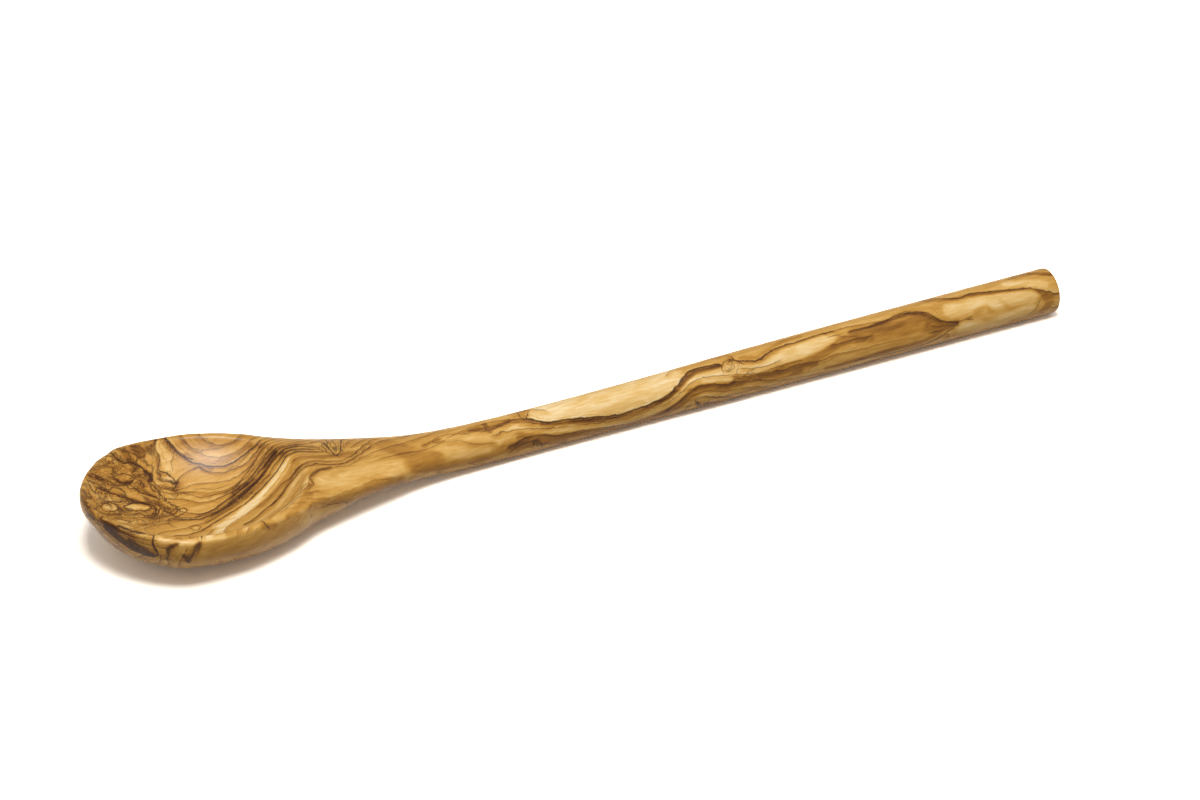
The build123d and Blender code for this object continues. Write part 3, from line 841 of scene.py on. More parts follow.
# %% Short veins seen in the photograph
STROKE_PIXELS = {
    "band edge": (0.95, 2, (
        (111.5, 453.5), (114.5, 456), (117.5, 459.5), (123.5, 463), (131, 462.5), (137.5, 466),
        (142.5, 468.5), (145.5, 472.5), (149, 474.5), (150.5, 478), (148.5, 481.5))),
    "band branch": (0.6, 1.2, ((124.5, 446.5), (127.5, 451), (130, 456.5), (131, 461.5))),
    "top loop": (0.7, 1.2, (
        (137, 445), (142.5, 448.5), (145.5, 452.5), (144, 456.5), (138.5, 458.5), (135, 461.5),
        (131, 463))),
    "loop inside": (0.5, 1, ((130.5, 449.5), (137, 451), (140, 454.5), (137, 457.5))),
    "rim arc one": (0.7, 1.1, (
        (94, 467.5), (102.5, 465.5), (109.5, 463.5), (117, 464), (123.5, 466.5), (126, 468))),
    "rim arc two": (0.5, 1, ((99.5, 462.5), (107, 461.5), (115.5, 462.5), (122.5, 464))),
    "rim arc three": (0.6, 1, (
        (91, 471), (98.5, 468.5), (107, 467.5), (114, 467.5), (119.5, 469.5), (117, 471.5))),
    "dark arc": (0.8, 1.5, (
        (88.5, 473.5), (95.5, 475), (102.5, 478.5), (109.5, 481), (115.5, 484.5), (121, 485))),
    "dark arc below": (0.7, 1.4, ((86, 477.5), (91, 481), (97.5, 484.5), (104, 488), (109.5, 491))),
    "blurred eye top": (0.7, 1.6, (
        (114, 478), (117, 475), (123.5, 473.5), (129.5, 475), (134.5, 478.5))),
    "blurred eye foot": (0.75, 1.8, (
        (113.5, 478.5), (118.5, 481), (124, 483), (130.5, 482.5), (134.5, 479))),
    "eye tail": (0.5, 1.2, (
        (112.5, 485), (119.5, 486.5), (128.5, 485), (135.5, 486.5), (141, 485))),
    "band right": (0.9, 1.8, (
        (135.5, 462.5), (139, 465.5), (145.5, 471), (152, 474), (152.5, 478), (151, 482.5))),
    "wavy twin": (0.5, 1, (
        (159.5, 440), (165.5, 447.5), (172.5, 453.5), (174, 456.5), (171, 462.5),
        (172.5, 469.5))),
    "wavy inside": (0.6, 1, (
        (152, 445), (149, 449.5), (152.5, 453.5), (157.5, 458.5), (159.5, 463.5), (158.5, 469.5),
        (161, 471.5))),
    "teardrop": (0.9, 1.5, (
        (159.5, 471), (166, 473), (172.5, 477.5), (176.5, 482.5), (175.5, 487), (172.5, 489.5),
        (167, 488.5))),
    "mid curl one": (0.9, 1.6, (
        (134, 488), (139.5, 492.5), (148.5, 495), (154, 496.5), (159.5, 499.5))),
    "mid curl two": (0.85, 1.4, (
        (152, 485), (157, 489.5), (161, 495), (165.5, 499.5), (171, 503.5), (175.5, 506),
        (179, 511))),
    "mid curl three": (0.6, 1, (
        (154, 484.5), (162.5, 485.5), (171, 488), (177, 491), (178, 496.5), (174, 499.5))),
    "mid curl four": (0.6, 1, (
        (159.5, 488.5), (165.5, 493), (172.5, 495), (174, 498.5), (169.5, 500), (165.5, 498))),
    "mid curl five": (0.7, 1, (
        (157.5, 491), (159.5, 496), (165.5, 502.5), (172.5, 506), (181, 506.5))),
    "corner curl": (0.8, 1.2, (
        (167.5, 508), (174, 509.5), (184, 508), (187.5, 510), (184, 513.5), (177, 516.5),
        (172.5, 515.5), (178, 511.5))),
    "corner curl two": (0.6, 1, ((162.5, 508), (168.5, 512.5), (165.5, 516), (159.5, 517.5))),
    "left loop": (0.8, 1.1, (
        (87, 480.5), (89.5, 485), (92.5, 491), (95, 491.5), (96.5, 488.5), (92.5, 483.5),
        (88.5, 480.5))),
    "slant upper": (0.8, 1.3, ((97, 487.5), (104.5, 491), (114, 494), (121, 498), (127, 499))),
    "slant middle": (0.85, 1.5, (
        (101, 488.5), (109, 493), (118.5, 495), (125.5, 497.5), (135.5, 501), (144.5, 504.5))),
    "slant lower": (0.6, 1, ((109.5, 496.5), (117, 500), (126, 501), (127, 498.5))),
    "long outline": (0.85, 1.4, (
        (101, 502.5), (108.5, 501), (118.5, 502.5), (128.5, 501), (138.5, 502), (149.5, 502.5),
        (158.5, 504.5), (160, 508), (158.5, 513.5), (154, 515.5))),
    "left rim curl": (0.8, 1.2, (
        (82.5, 491), (81.5, 499.5), (84.5, 505), (89.5, 508), (94.5, 509.5), (97, 508),
        (96.5, 502.5), (92, 498), (87.5, 497), (86, 499.5), (87.5, 504.5))),
    "left rim curl two": (0.5, 1, ((84.5, 495), (84.5, 501), (87, 506))),
    "eye left": (0.95, 1.3, (
        (100.5, 506.5), (104, 503.5), (111, 503), (117.5, 505), (119.5, 508), (115.5, 511),
        (108.5, 512), (103.5, 510.5), (100.5, 506.5))),
    "eye right": (0.95, 1.4, (
        (123.5, 506.5), (130.5, 503.5), (141, 503.5), (149.5, 505.5), (152.5, 508),
        (145.5, 510.5), (135.5, 511), (127, 509.5), (123.5, 506.5))),
    "between eyes": (0.7, 1.2, ((119.5, 508), (123.5, 511.5), (131, 513.5), (138.5, 514.5))),
    "under eyes": (0.8, 1.5, (
        (95.5, 508.5), (100.5, 512.5), (107.5, 514), (117, 513.5), (122.5, 513.5), (131, 515.5),
        (139, 513.5), (144, 515), (154, 515.5), (165.5, 516.5))),
    "under eyes two": (0.7, 1.2, (
        (108.5, 519.5), (115.5, 517.5), (122.5, 517), (131, 518.5), (141, 517), (151, 518.5),
        (162.5, 519.5))),
    "pale cell": (0.7, 1, (
        (117, 519.5), (124, 519.5), (130, 521), (128.5, 524), (121, 523.5), (117, 521.5))),
    "long cell": (0.5, 1, (
        (130, 522.5), (137, 519.5), (145.5, 519.5), (151, 521), (145.5, 523.5), (137, 525),
        (130.5, 526.5))),
    "low arc": (0.6, 1, (
        (121, 528), (131, 528.5), (139.5, 526.5), (148.5, 524), (155.5, 521.5), (165.5, 520))),
    "low arc two": (0.4, 1, ((134, 531), (145.5, 528), (154, 526.5), (162.5, 522.5), (171, 520))),
    "low fleck": (0.6, 1.2, ((165.5, 521.5), (169, 523.5), (172.5, 526.5), (174.5, 527))),
    "flat line": (0.7, 1, (
        (162.5, 520), (174, 521), (185.5, 520.5), (195.5, 519.5), (202.5, 518.5))),
    "flat line two": (0.8, 1.2, (
        (174, 517.5), (184, 517.5), (194, 517.5), (201, 516), (203.5, 515))),
    "small knot": (0.6, 1.3, (
        (191, 526.5), (195.5, 525), (200.5, 526.5), (199.5, 529.5), (195.5, 530.5),
        (191.5, 528.5))),
    "rim thread": (0.5, 1, (
        (109.5, 522.5), (117, 526.5), (125.5, 530), (135.5, 533.5), (148.5, 535))),
    "U cap": (0.4, 0.9, ((197.5, 437.5), (202.5, 436.5), (207, 438.5), (208, 441), (211, 442.5))),
    "U high": (0.5, 1, (
        (180.5, 438.5), (187, 444.5), (194, 448.5), (201, 450), (211, 450), (224, 447),
        (232.5, 443), (238.5, 439.5))),
    "U high two": (0.4, 0.9, ((188.5, 449.5), (195.5, 452.5), (202.5, 452))),
    "U left edge": (0.85, 1.6, (
        (167, 439.5), (174, 448), (177.5, 451.5), (185.5, 456.5), (192.5, 459.5))),
    "U left twin": (0.6, 1, (
        (161.5, 438.5), (167, 443.5), (174, 451.5), (182.5, 457.5), (188.5, 461.5))),
    "U second left": (0.6, 1, ((194, 460), (199.5, 465.5), (207, 471), (211, 471))),
    "U low": (0.6, 1, (
        (174, 493), (182.5, 493.5), (192.5, 495), (199.5, 497.5), (208.5, 496.5), (217, 494),
        (225.5, 492.5))),
    "U low two": (0.5, 0.9, (
        (194, 489.5), (202.5, 488.5), (211, 489.5), (219.5, 488), (228.5, 485))),
    "U foot": (0.4, 0.9, ((209.5, 499.5), (217, 503), (224, 502.5), (231, 498))),
    "wedge one": (0.8, 1.5, ((242.5, 479.5), (235.5, 488), (232.5, 492.5), (235.5, 495))),
    "wedge two": (0.8, 1.6, ((229.5, 502.5), (238.5, 495), (247, 488), (252.5, 484.5))),
    "side dark one": (0.9, 2.2, (
        (104.5, 526.5), (112.5, 532.5), (121, 541), (131, 548.5), (141, 553.5), (151, 555.5))),
    "side dark two": (0.7, 1.5, (
        (94, 519.5), (102.5, 530), (114, 541), (125.5, 549.5), (137, 556.5), (148.5, 560))),
    "side dark three": (0.6, 1.2, (
        (117, 532.5), (127, 541), (135.5, 546.5), (145.5, 549.5), (151, 553.5))),
    "side thread": (0.6, 1, ((99.5, 531), (111, 543.5), (124, 553), (138.5, 560), (154, 563.5))),
    "rim dark line": (0.9, 1.5, (
        (87, 512.5), (95.5, 519.5), (104.5, 525), (114, 529.5), (122.5, 533))),
    "hatch one": (0.5, 0.8, ((127, 528), (127.5, 534.5), (129, 539.5))),
    "hatch two": (0.5, 0.8, ((132, 529.5), (133, 535), (134, 541))),
    "hatch three": (0.5, 0.8, ((137, 531), (138.5, 536.5), (139, 542.5))),
    "hatch four": (0.5, 0.8, ((142.5, 533), (144, 537.5), (143.5, 542.5))),
    "hook": (1, 2.6, (
        (154, 536), (152.5, 542.5), (154.5, 548), (158.5, 554), (154, 556.5), (145.5, 555))),
    "brown hook": (0.55, 2.4, ((177, 544), (169.5, 547.5), (167, 552.5), (165, 558.5))),
    "brown blob": (0.6, 3.6, ((199.5, 543.5), (195.5, 549.5), (192, 556), (187.5, 560))),
    "brown blob foot": (0.65, 3, ((183.5, 555.5), (187, 559), (188.5, 562))),
    "side fleck": (0.7, 1.8, ((262.5, 521.5), (266, 525), (268.5, 527.5))),
    "side thread two": (0.4, 1, ((158.5, 553.5), (165.5, 557.5), (174, 561))),
    "knot outline": (0.95, 1.3, (
        (320, 438), (323, 442.5), (328, 448), (332.5, 452.5), (337, 455.5), (340, 452.5),
        (340.5, 447), (341, 440))),
    "knot inside": (0.8, 1, (
        (325.5, 440), (327.5, 444.5), (332.5, 448), (336, 451), (337, 447.5), (334, 443),
        (331.5, 440))),
    "knot inside two": (0.7, 0.9, ((329, 441), (331, 445), (334.5, 448))),
    "knot curl": (0.8, 1, (
        (312, 443), (318, 441), (323, 443), (321, 446.5), (325, 449), (328, 452.5))),
    "knot under": (0.8, 1.1, (
        (280, 453.5), (292, 450), (304, 449.5), (318, 449), (326, 452.5), (332.5, 455),
        (337, 456))),
    "knot left": (0.6, 1, ((292, 446.5), (302, 444.5), (312, 445.5), (320, 448))),
    "knot left two": (0.5, 0.9, ((298, 441.5), (308, 441), (317, 442.5))),
    "knot right": (0.5, 0.9, ((342, 454), (345, 447), (349, 440), (354, 438))),
    "top dash": (0.7, 0.9, ((403, 438), (408, 436), (413, 435), (420, 434))),
    "patch rim": (0.6, 2.2, ((330, 467.5), (320, 469.5), (313, 473), (309.5, 478), (313, 482.5))),
    "patch rim two": (0.5, 1.6, ((306, 484), (302, 487), (300, 492))),
    "patch foot": (0.25, 1, ((292, 504), (304, 502), (320, 503), (328, 504))),
    "wisp": (0.3, 1.4, ((310, 506), (309, 512), (312, 517))),
    "neck wisp": (0.4, 1, ((366, 484), (374, 480), (384, 479.5), (396, 479), (404, 477.5))),
    "flame one": (0.5, 1.1, (
        (424, 445.5), (430.5, 442.5), (438, 436.5), (448, 434.5), (458, 433.5), (468, 434.5))),
    "flame two": (0.4, 1, (
        (432.5, 443), (446, 441.5), (460, 440), (468, 443), (480, 444.5), (492, 443))),
    "flame three": (0.45, 1.2, (
        (461, 433), (472, 430), (482, 432), (492, 430), (502, 425), (512, 420))),
    "spot one": (0.5, 1.6, ((480, 419.5), (482.5, 425), (487, 430))),
    "spot two": (0.5, 1.4, ((493, 425.5), (498, 425.5), (501, 424))),
    "hook start": (0.9, 1.1, (
        (531.5, 407.5), (528, 412.5), (527, 417), (525, 418.5), (533.5, 420.5), (542, 422.5),
        (549, 422))),
    "hook twin": (0.7, 1, ((516.5, 412.5), (520, 417), (525, 419))),
    "pin ring": (0.9, 1.2, (
        (532.5, 447), (533.5, 442), (537, 440), (541, 442.5), (542.5, 447), (539, 449))),
    "pin core": (0.7, 1.2, ((535.5, 443.5), (537.5, 445.5))),
    "pin left": (0.7, 1.1, ((508, 455), (515, 448), (523, 443.5), (532.5, 441), (537, 439))),
    "pin left two": (0.6, 1, ((513, 455), (521, 449), (529, 447), (533, 448))),
    "pin right": (0.6, 1, ((542.5, 442.5), (552, 444.5), (564, 442.5), (580, 438.5), (600, 433.5))),
    "swirl ring": (0.8, 1, (
        (722.5, 370.5), (721.5, 366), (724, 361.5), (729.5, 359.5), (736.5, 361),
        (742.5, 363.5))),
    "swirl inside": (0.6, 0.9, (
        (724.5, 371), (728.5, 371.5), (732.5, 369.5), (734.5, 365.5), (732, 362.5),
        (728, 361.5))),
    "swirl core": (0.45, 0.8, (
        (726.5, 367.5), (729, 369), (732, 366.5), (730.5, 364), (727.5, 364.5))),
    "swirl foot": (0.6, 1.2, (
        (731.5, 383.5), (734.5, 380), (733.5, 377.5), (737, 378.5), (743, 377.5), (746.5, 374.5),
        (748.5, 371), (753.5, 369.5))),
    "swirl right": (0.45, 0.9, ((736.5, 362.5), (738.5, 367.5), (736.5, 372.5), (738.5, 376.5))),
    "crack one": (0.9, 1.4, ((695.5, 401), (698.5, 403), (697, 406.5), (702, 407.5), (705.5, 405))),
    "crack two": (0.9, 1.4, (
        (703.5, 403.5), (708.5, 402.5), (712, 405.5), (717, 403.5), (719.5, 401.5))),
    "golden edge": (0.6, 0.9, (
        (686.5, 407), (691.5, 401.5), (697, 397.5), (705, 396), (715, 397), (726.5, 396),
        (741.5, 392), (760, 387.5), (780, 383.5))),
    "fan line": (0.5, 0.9, (
        (735, 378.5), (743.5, 380), (753.5, 378.5), (761.5, 380.5), (773.5, 380), (786.5, 377),
        (800, 373))),
    "fan line two": (0.5, 1.2, (
        (750, 373.5), (760, 373.5), (768.5, 370), (780, 365.5), (800, 360.5))),
    "ellipse tip": (0.6, 1.1, ((829, 337), (834, 335.5), (837, 335), (841.5, 336.5))),
    "lens line": (0.75, 1.2, (
        (848.5, 332), (860, 329.5), (873.5, 325), (886.5, 321), (894, 315.5), (904, 312),
        (916.5, 311.5), (926.5, 312.5), (934, 316.5), (939, 320.5), (946.5, 322), (958.5, 322))),
    "lens foot line": (0.8, 1.2, (
        (958.5, 323), (953, 327.5), (946.5, 332.5), (938.5, 337.5), (928.5, 343), (915, 347.5),
        (898.5, 351.5), (878.5, 356), (856.5, 360.5))),
    "lens thread": (0.4, 0.8, (
        (866.5, 340.5), (856.5, 346.5), (843.5, 353.5), (826.5, 361.5), (810, 368.5))),
    "small lens top": (0.45, 0.9, ((843.5, 337), (853.5, 336), (862.5, 338.5), (866.5, 340.5))),
    "end dot": (0.6, 1.6, ((967.5, 319.5), (971, 319.5))),
    "top end one": (0.6, 1.1, ((1016.5, 272.5), (1030, 271), (1040, 269.5), (1048.5, 270.5))),
    "top end two": (0.6, 1.3, (
        (1007.5, 279.5), (1020, 276.5), (1033.5, 274), (1043.5, 275), (1052, 275.5))),
    "end patch": (0.4, 1.4, (
        (1036.5, 289), (1042.5, 295), (1038.5, 302.5), (1036.5, 308.5), (1029.5, 313.5))),
    "bundle line one": (0.7, 1.1, (
        (264, 445.5), (257.5, 456), (251, 467.5), (243, 478), (234, 487), (225, 493.5))),
    "bundle line two": (0.7, 1.2, (
        (268, 448), (263, 460), (256, 470), (250, 480.5), (240.5, 490), (231.5, 497.5))),
    "bundle line three": (0.5, 1, ((256, 443), (250, 450.5), (246, 457), (238, 465), (227.5, 469))),
    "fan one": (0.7, 1, ((252.5, 491), (244.5, 496.5), (234, 503), (221, 510.5), (206.5, 517))),
    "fan two": (0.7, 1, ((252.5, 493.5), (243, 500), (231.5, 508), (218.5, 516), (205.5, 523.5))),
}
print(f"{len(STROKE_PIXELS)} pen strokes")

# %% Side and distance of the nearest stroke
PEN_REACH = 2.5
PLAIN_PEN_WIDTH = 0.2
pen_gap = np.full(count, PEN_REACH)
pen_side = np.full(count, PEN_REACH)
pen_strength = np.zeros(count)
pen_width = np.full(count, PLAIN_PEN_WIDTH)
for strength, width, pixels in STROKE_PIXELS.values():
    chain = on_skin(pixels, PEN_GAP)
    low, high = chain.min(axis=0) - PEN_REACH, chain.max(axis=0) + PEN_REACH
    close = np.flatnonzero(((skin_points > low) & (skin_points < high)).all(axis=1))
    for start, end in zip(chain[:-1], chain[1:]):
        run = end - start
        offset = skin_points[close] - start
        share = np.clip(offset @ run / max(run @ run, 1e-9), 0, 1)
        rest = offset - share[:, None] * run
        far = np.linalg.norm(rest, axis=1)
        nearer = close[far < pen_gap[close]]
        far = far[far < pen_gap[close]]
        across = np.cross(run, skin_normals[nearer])
        offset = skin_points[nearer] - start
        pen_gap[nearer] = far
        pen_side[nearer] = far * np.sign((offset * across).sum(axis=1) + 1e-9)
        pen_strength[nearer] = strength
        pen_width[nearer] = width * PIXEL_MM / 2
print(f"strokes reach {np.mean(pen_gap < PEN_REACH) * 100:.0f}% of the skin")

# %% [markdown]
# Not every ring is a strong vein. Each vein's strength is laid on along its chain, and round it
# the rings have a middling one. In quiet places, such as the pale patches, no ring shows. The burl
# is one broad patch at the front of the bowl. A last field says where the wood is free of marks,
# on the side that the photograph doesn't show, so that the rings can wander there.

# %% Quiet places, with their widths
QUIET_PIXELS = {
    "ridge knot": (9, ((326, 446), (336, 448))),
    "swirl": (5, ((727, 367), (733, 367))),
    "pin knot": (5, ((535, 442), (541, 442))),
    "crack": (5, ((697, 404), (716, 403))),
    "under the neck": (6, ((405, 468), (440, 466), (470, 458), (500, 450))),
    "cream band": (3.4, ((217, 525), (245, 508), (260, 499), (274, 482), (288, 464))),
    "side wall": (10, ((203, 562), (215, 550), (240, 549), (265, 541), (290, 528), (310, 515))),
    "pale patch": (9, ((323, 483), (340, 480), (359, 474), (376, 469))),
    "pale field": (9, ((560, 407), (577, 403), (620, 393), (656, 383))),
    "pale neck": (7, ((455, 445), (485, 445))),
    "end": (8, ((980, 308), (1013, 303), (1033, 300))),
    "ellipse": (6, ((788, 355), (822, 342))),
    "lens": (5, ((880, 335), (925, 328))),
    "end foot": (8, ((960, 334), (985, 325), (1010, 317), (1040, 308))),
    "first eye": (3, ((106, 507), (114.5, 508))),
    "second eye": (3, ((129.5, 507), (145.5, 507.5))),
    "rim": (3, ((162, 541), (185, 544), (202, 542))),
    "rim by the neck": (4, ((240, 528), (262, 522), (275, 515))),
}
print(f"{len(QUIET_PIXELS)} quiet places")

# %% How strong the veins are
BASE_STRENGTH = 0.5
VEIN_WIDTH = 3.5
QUIET_WEIGHT = 10
strength_paint = np.full(count, BASE_STRENGTH * BASE_COVER)
strength_cover = np.full(count, BASE_COVER)
for ring, strength, pixels in VEIN_PIXELS.values():
    laid = brush(skin_points, on_skin(pixels, BRUSH_GAP), VEIN_WIDTH * PIXEL_MM)
    strength_paint += strength * laid
    strength_cover += laid
for width, pixels in QUIET_PIXELS.values():
    laid = brush(skin_points, on_skin(pixels, BRUSH_GAP), width * PIXEL_MM)
    strength_cover += QUIET_WEIGHT * laid
strength_field = strength_paint / strength_cover
print(f"strength {strength_field.min():.2f} to {strength_field.max():.2f}")

# %% Where the wood is burl, and where it is free of marks
BURL_PIXELS = ((95, 500), (110, 475), (130, 465), (135, 490), (115, 500), (140, 510))
BURL_WIDTH = 32
BURL_GAIN = 1.6
FREE_FROM = 2.0
FREE_OVER = 8.0
burl_field = brush(skin_points, on_skin(BURL_PIXELS, BRUSH_GAP), BURL_WIDTH * PIXEL_MM)
burl_field = np.clip(burl_field * BURL_GAIN, 0, 1)
free_field = np.clip((nearest - FREE_FROM) / FREE_OVER, 0, 1)
print(f"burl on {np.mean(burl_field > 0.5) * 100:.0f}% of the skin")

# %% [markdown]
# Each field is kept on the mesh as an attribute with one value per point. The material reads them
# by name, so the figure stays on the wood however the spoon lies.

# %% Keep the fields on the mesh
FIELDS = {"rings": ring_field, "steepness": steepness, "tone": tone_field,
          "strength": strength_field, "burl": burl_field, "free": free_field,
          "pen side": pen_side, "pen gap": pen_gap, "pen strength": pen_strength,
          "pen width": pen_width}
for name, values in FIELDS.items():
    layer = spoon_mesh.attributes.new(name, "FLOAT", "POINT")
    layer.data.foreach_set("value", values.astype(np.float32))
print(f"{len(FIELDS)} fields on {count} points")

# %% [markdown]
# ## Oiled olive wood
# Olive wood is dense and fine-pored. It is sanded by hand and rubbed with oil, which deepens its
# honey colour and leaves a satin skin, less shiny than varnish. That is a dielectric with an IOR
# near 1.5, a middling roughness and a low specular level. The colours run from the brown of old
# heartwood through honey to cream, with a darker brown for the veins.

# %% Colours
def linear(code):
    """A sRGB hex colour as the linear values that shaders work in."""
    parts = [int(code[i:i + 2], 16) / 255 for i in (1, 3, 5)]
    parts = [part / 12.92 if part <= 0.04045 else ((part + 0.055) / 1.055) ** 2.4 for part in parts]
    return (*parts, 1.0)


WOOD_TONES = ((0.00, "#2E1B10"), (0.20, "#603C1B"), (0.40, "#98672B"), (0.55, "#B98439"),
              (0.70, "#D19F50"), (0.85, "#E5BC75"), (1.00, "#F6DEAE"))
VEIN_BROWN = "#412618"

# %% Start the material
olive_wood.use_nodes = True
wood = olive_wood.node_tree
skin = wood.nodes["Principled BSDF"]
place = add(wood, "ShaderNodeTexCoord", out=3)
place = add(wood, "ShaderNodeVectorMath", place, 1 / MM, operation="SCALE")
kept = {name: add(wood, "ShaderNodeAttribute", attribute_name=name, out=2) for name in FIELDS}
strength = kept["strength"]
burl = kept["burl"]
print(f"the wood reads {len(kept)} fields")

# %% [markdown]
# Real rings are never smooth. Noise bends the ring number by a fine wobble everywhere, by strong
# lumps in the burl, and by long waves where no vein is marked. Each noise has a size in
# millimetres, and the lengths along the grain are stretched.

# %% Ring wobble
FINE_SIZE = 2.0
FINE_SWING = 1.1
BURL_SIZE = 8.333
BURL_SWING = 4.6
BROAD_SIZE = 10.0
BROAD_SWING = 5.0
GRAIN_SHARE = 0.3
fine = add(wood, "ShaderNodeTexNoise", place, 1 / FINE_SIZE, 3.0, 0.6, 2.0, 0.0,
           noise_dimensions="3D")
fine = add(wood, "ShaderNodeMath", fine, 0.5, operation="SUBTRACT")
fine = add(wood, "ShaderNodeMath", fine, kept["steepness"], operation="MULTIPLY")
fine = add(wood, "ShaderNodeMath", fine, FINE_SWING, operation="MULTIPLY")
crumpled = add(wood, "ShaderNodeTexNoise", place, 1 / BURL_SIZE, 3.0, 0.55, 2.1, 1.0,
               noise_dimensions="3D")
crumpled = add(wood, "ShaderNodeMath", crumpled, 0.5, operation="SUBTRACT")
crumpled = add(wood, "ShaderNodeMath", crumpled, BURL_SWING, operation="MULTIPLY")
crumpled = add(wood, "ShaderNodeMath", crumpled, burl, operation="MULTIPLY")
long_place = add(wood, "ShaderNodeVectorMath", place, (GRAIN_SHARE, 1.0, 1.0),
                 operation="MULTIPLY")
broad = add(wood, "ShaderNodeTexNoise", long_place, 1 / BROAD_SIZE, 3.0, 0.5, 2.0, 0.4,
            noise_dimensions="3D")
broad = add(wood, "ShaderNodeMath", broad, 0.5, operation="SUBTRACT")
broad = add(wood, "ShaderNodeMath", broad, BROAD_SWING, operation="MULTIPLY")
broad = add(wood, "ShaderNodeMath", broad, kept["free"], operation="MULTIPLY")
bent = kept["rings"]
for swing in (fine, crumpled, broad):
    bent = add(wood, "ShaderNodeMath", bent, swing, operation="ADD")
print(f"ring wobble: {len(wood.nodes)} nodes so far")

# %% [markdown]
# A vein is a thin dark line where the bent ring number is whole. The gap to the nearest whole
# number, divided by the rings' steepness, is a distance in millimetres, so lines are as thin where
# the rings are wide apart as where they are close. A brown stain follows on one side of each, as
# late wood does. In the burl the lines are of one strength and have no stain.

# %% Veins
BURL_STEEPNESS = 0.6
LEAST_STEEPNESS = 0.08
HALF_GAIN = 0.42
HALF_LEAST = 0.1
BURL_STRENGTH = 0.65
STAIN_WIDTH = 1.8
part = add(wood, "ShaderNodeMath", bent, operation="FRACT")
back = add(wood, "ShaderNodeMath", 1.0, part, operation="SUBTRACT")
near = add(wood, "ShaderNodeMath", part, back, operation="MINIMUM")
steep = add(wood, "ShaderNodeMath", burl, BURL_STEEPNESS, kept["steepness"],
            operation="MULTIPLY_ADD")
steep = add(wood, "ShaderNodeMath", steep, LEAST_STEEPNESS, operation="MAXIMUM")
near = add(wood, "ShaderNodeMath", near, steep, operation="DIVIDE")
below = add(wood, "ShaderNodeMath", part, steep, operation="DIVIDE")
half = add(wood, "ShaderNodeMath", strength, HALF_GAIN, HALF_LEAST, operation="MULTIPLY_ADD")
line = add(wood, "ShaderNodeMapRange", near, half, 0.0, 0.0, 1.0, interpolation_type="SMOOTHSTEP")
sound = add(wood, "ShaderNodeMath", 1.0, burl, operation="SUBTRACT")
burl_strength = add(wood, "ShaderNodeMix", burl, strength, BURL_STRENGTH)
line = add(wood, "ShaderNodeMath", line, burl_strength, operation="MULTIPLY")
stain = add(wood, "ShaderNodeMapRange", below, 0.0, STAIN_WIDTH, 1.0, 0.0,
            interpolation_type="SMOOTHSTEP")
stain = add(wood, "ShaderNodeMath", stain, strength, operation="MULTIPLY")
stain = add(wood, "ShaderNodeMath", stain, sound, operation="MULTIPLY")
print(f"veins: {len(wood.nodes)} nodes so far")

# %% [markdown]
# Between two veins lie a few faint year rings, which come and go along the grain.

# %% Fine year rings
YEARS_PER_RING = 3.0
YEAR_WIDTH = 0.55
GATE_SIZE = 4.0
GATE_SHUT = 0.42
GATE_OPEN = 0.62
years = add(wood, "ShaderNodeMath", bent, YEARS_PER_RING, operation="MULTIPLY")
years = add(wood, "ShaderNodeMath", fine, YEARS_PER_RING / 2, years, operation="MULTIPLY_ADD")
years = add(wood, "ShaderNodeMath", years, operation="FRACT")
other = add(wood, "ShaderNodeMath", 1.0, years, operation="SUBTRACT")
years = add(wood, "ShaderNodeMath", years, other, operation="MINIMUM")
years = add(wood, "ShaderNodeMath", years, steep, operation="DIVIDE")
years = add(wood, "ShaderNodeMapRange", years, YEAR_WIDTH, 0.0, 0.0, 1.0,
            interpolation_type="SMOOTHSTEP")
gate = add(wood, "ShaderNodeTexNoise", long_place, 1 / GATE_SIZE, 2.0, 0.5, 2.0, 0.0,
           noise_dimensions="3D")
gate = add(wood, "ShaderNodeMapRange", gate, GATE_SHUT, GATE_OPEN, 0.0, 1.0,
           interpolation_type="SMOOTHSTEP")
years = add(wood, "ShaderNodeMath", years, gate, operation="MULTIPLY")
years = add(wood, "ShaderNodeMath", years, burl_strength, operation="MULTIPLY")
print(f"year rings: {len(wood.nodes)} nodes so far")

# %% [markdown]
# A pen stroke is dark where a point lies within half its width of the middle, and noise shakes it
# a little, as a vein is never drawn with a ruler. A soft halo darkens the wood beside it.

# %% Pen strokes
SHAKE_SIZE = 1.111
SHAKE_SWING = 0.8
PEN_EDGE = 0.14
PEN_END = 0.5
PEN_FADE = 0.9
HALO_WIDTH = 1.3
shake = add(wood, "ShaderNodeTexNoise", place, 1 / SHAKE_SIZE, 2.0, 0.5, 2.0, 0.0,
            noise_dimensions="3D")
shake = add(wood, "ShaderNodeMath", shake, 0.5, operation="SUBTRACT")
side = add(wood, "ShaderNodeMath", shake, SHAKE_SWING, kept["pen side"], operation="MULTIPLY_ADD")
side = add(wood, "ShaderNodeMath", side, operation="ABSOLUTE")
width = kept["pen width"]
outer = add(wood, "ShaderNodeMath", width, PEN_EDGE, operation="ADD")
inner = add(wood, "ShaderNodeMath", width, PEN_EDGE, operation="SUBTRACT")
pen = add(wood, "ShaderNodeMapRange", side, inner, outer, 1.0, 0.0,
          interpolation_type="SMOOTHSTEP")
full = add(wood, "ShaderNodeMath", width, PEN_END, operation="ADD")
faded = add(wood, "ShaderNodeMath", width, PEN_FADE, operation="ADD")
reached = add(wood, "ShaderNodeMapRange", kept["pen gap"], full, faded, 1.0, 0.0)
pen = add(wood, "ShaderNodeMath", pen, reached, operation="MULTIPLY")
pen = add(wood, "ShaderNodeMath", pen, kept["pen strength"], operation="MULTIPLY")
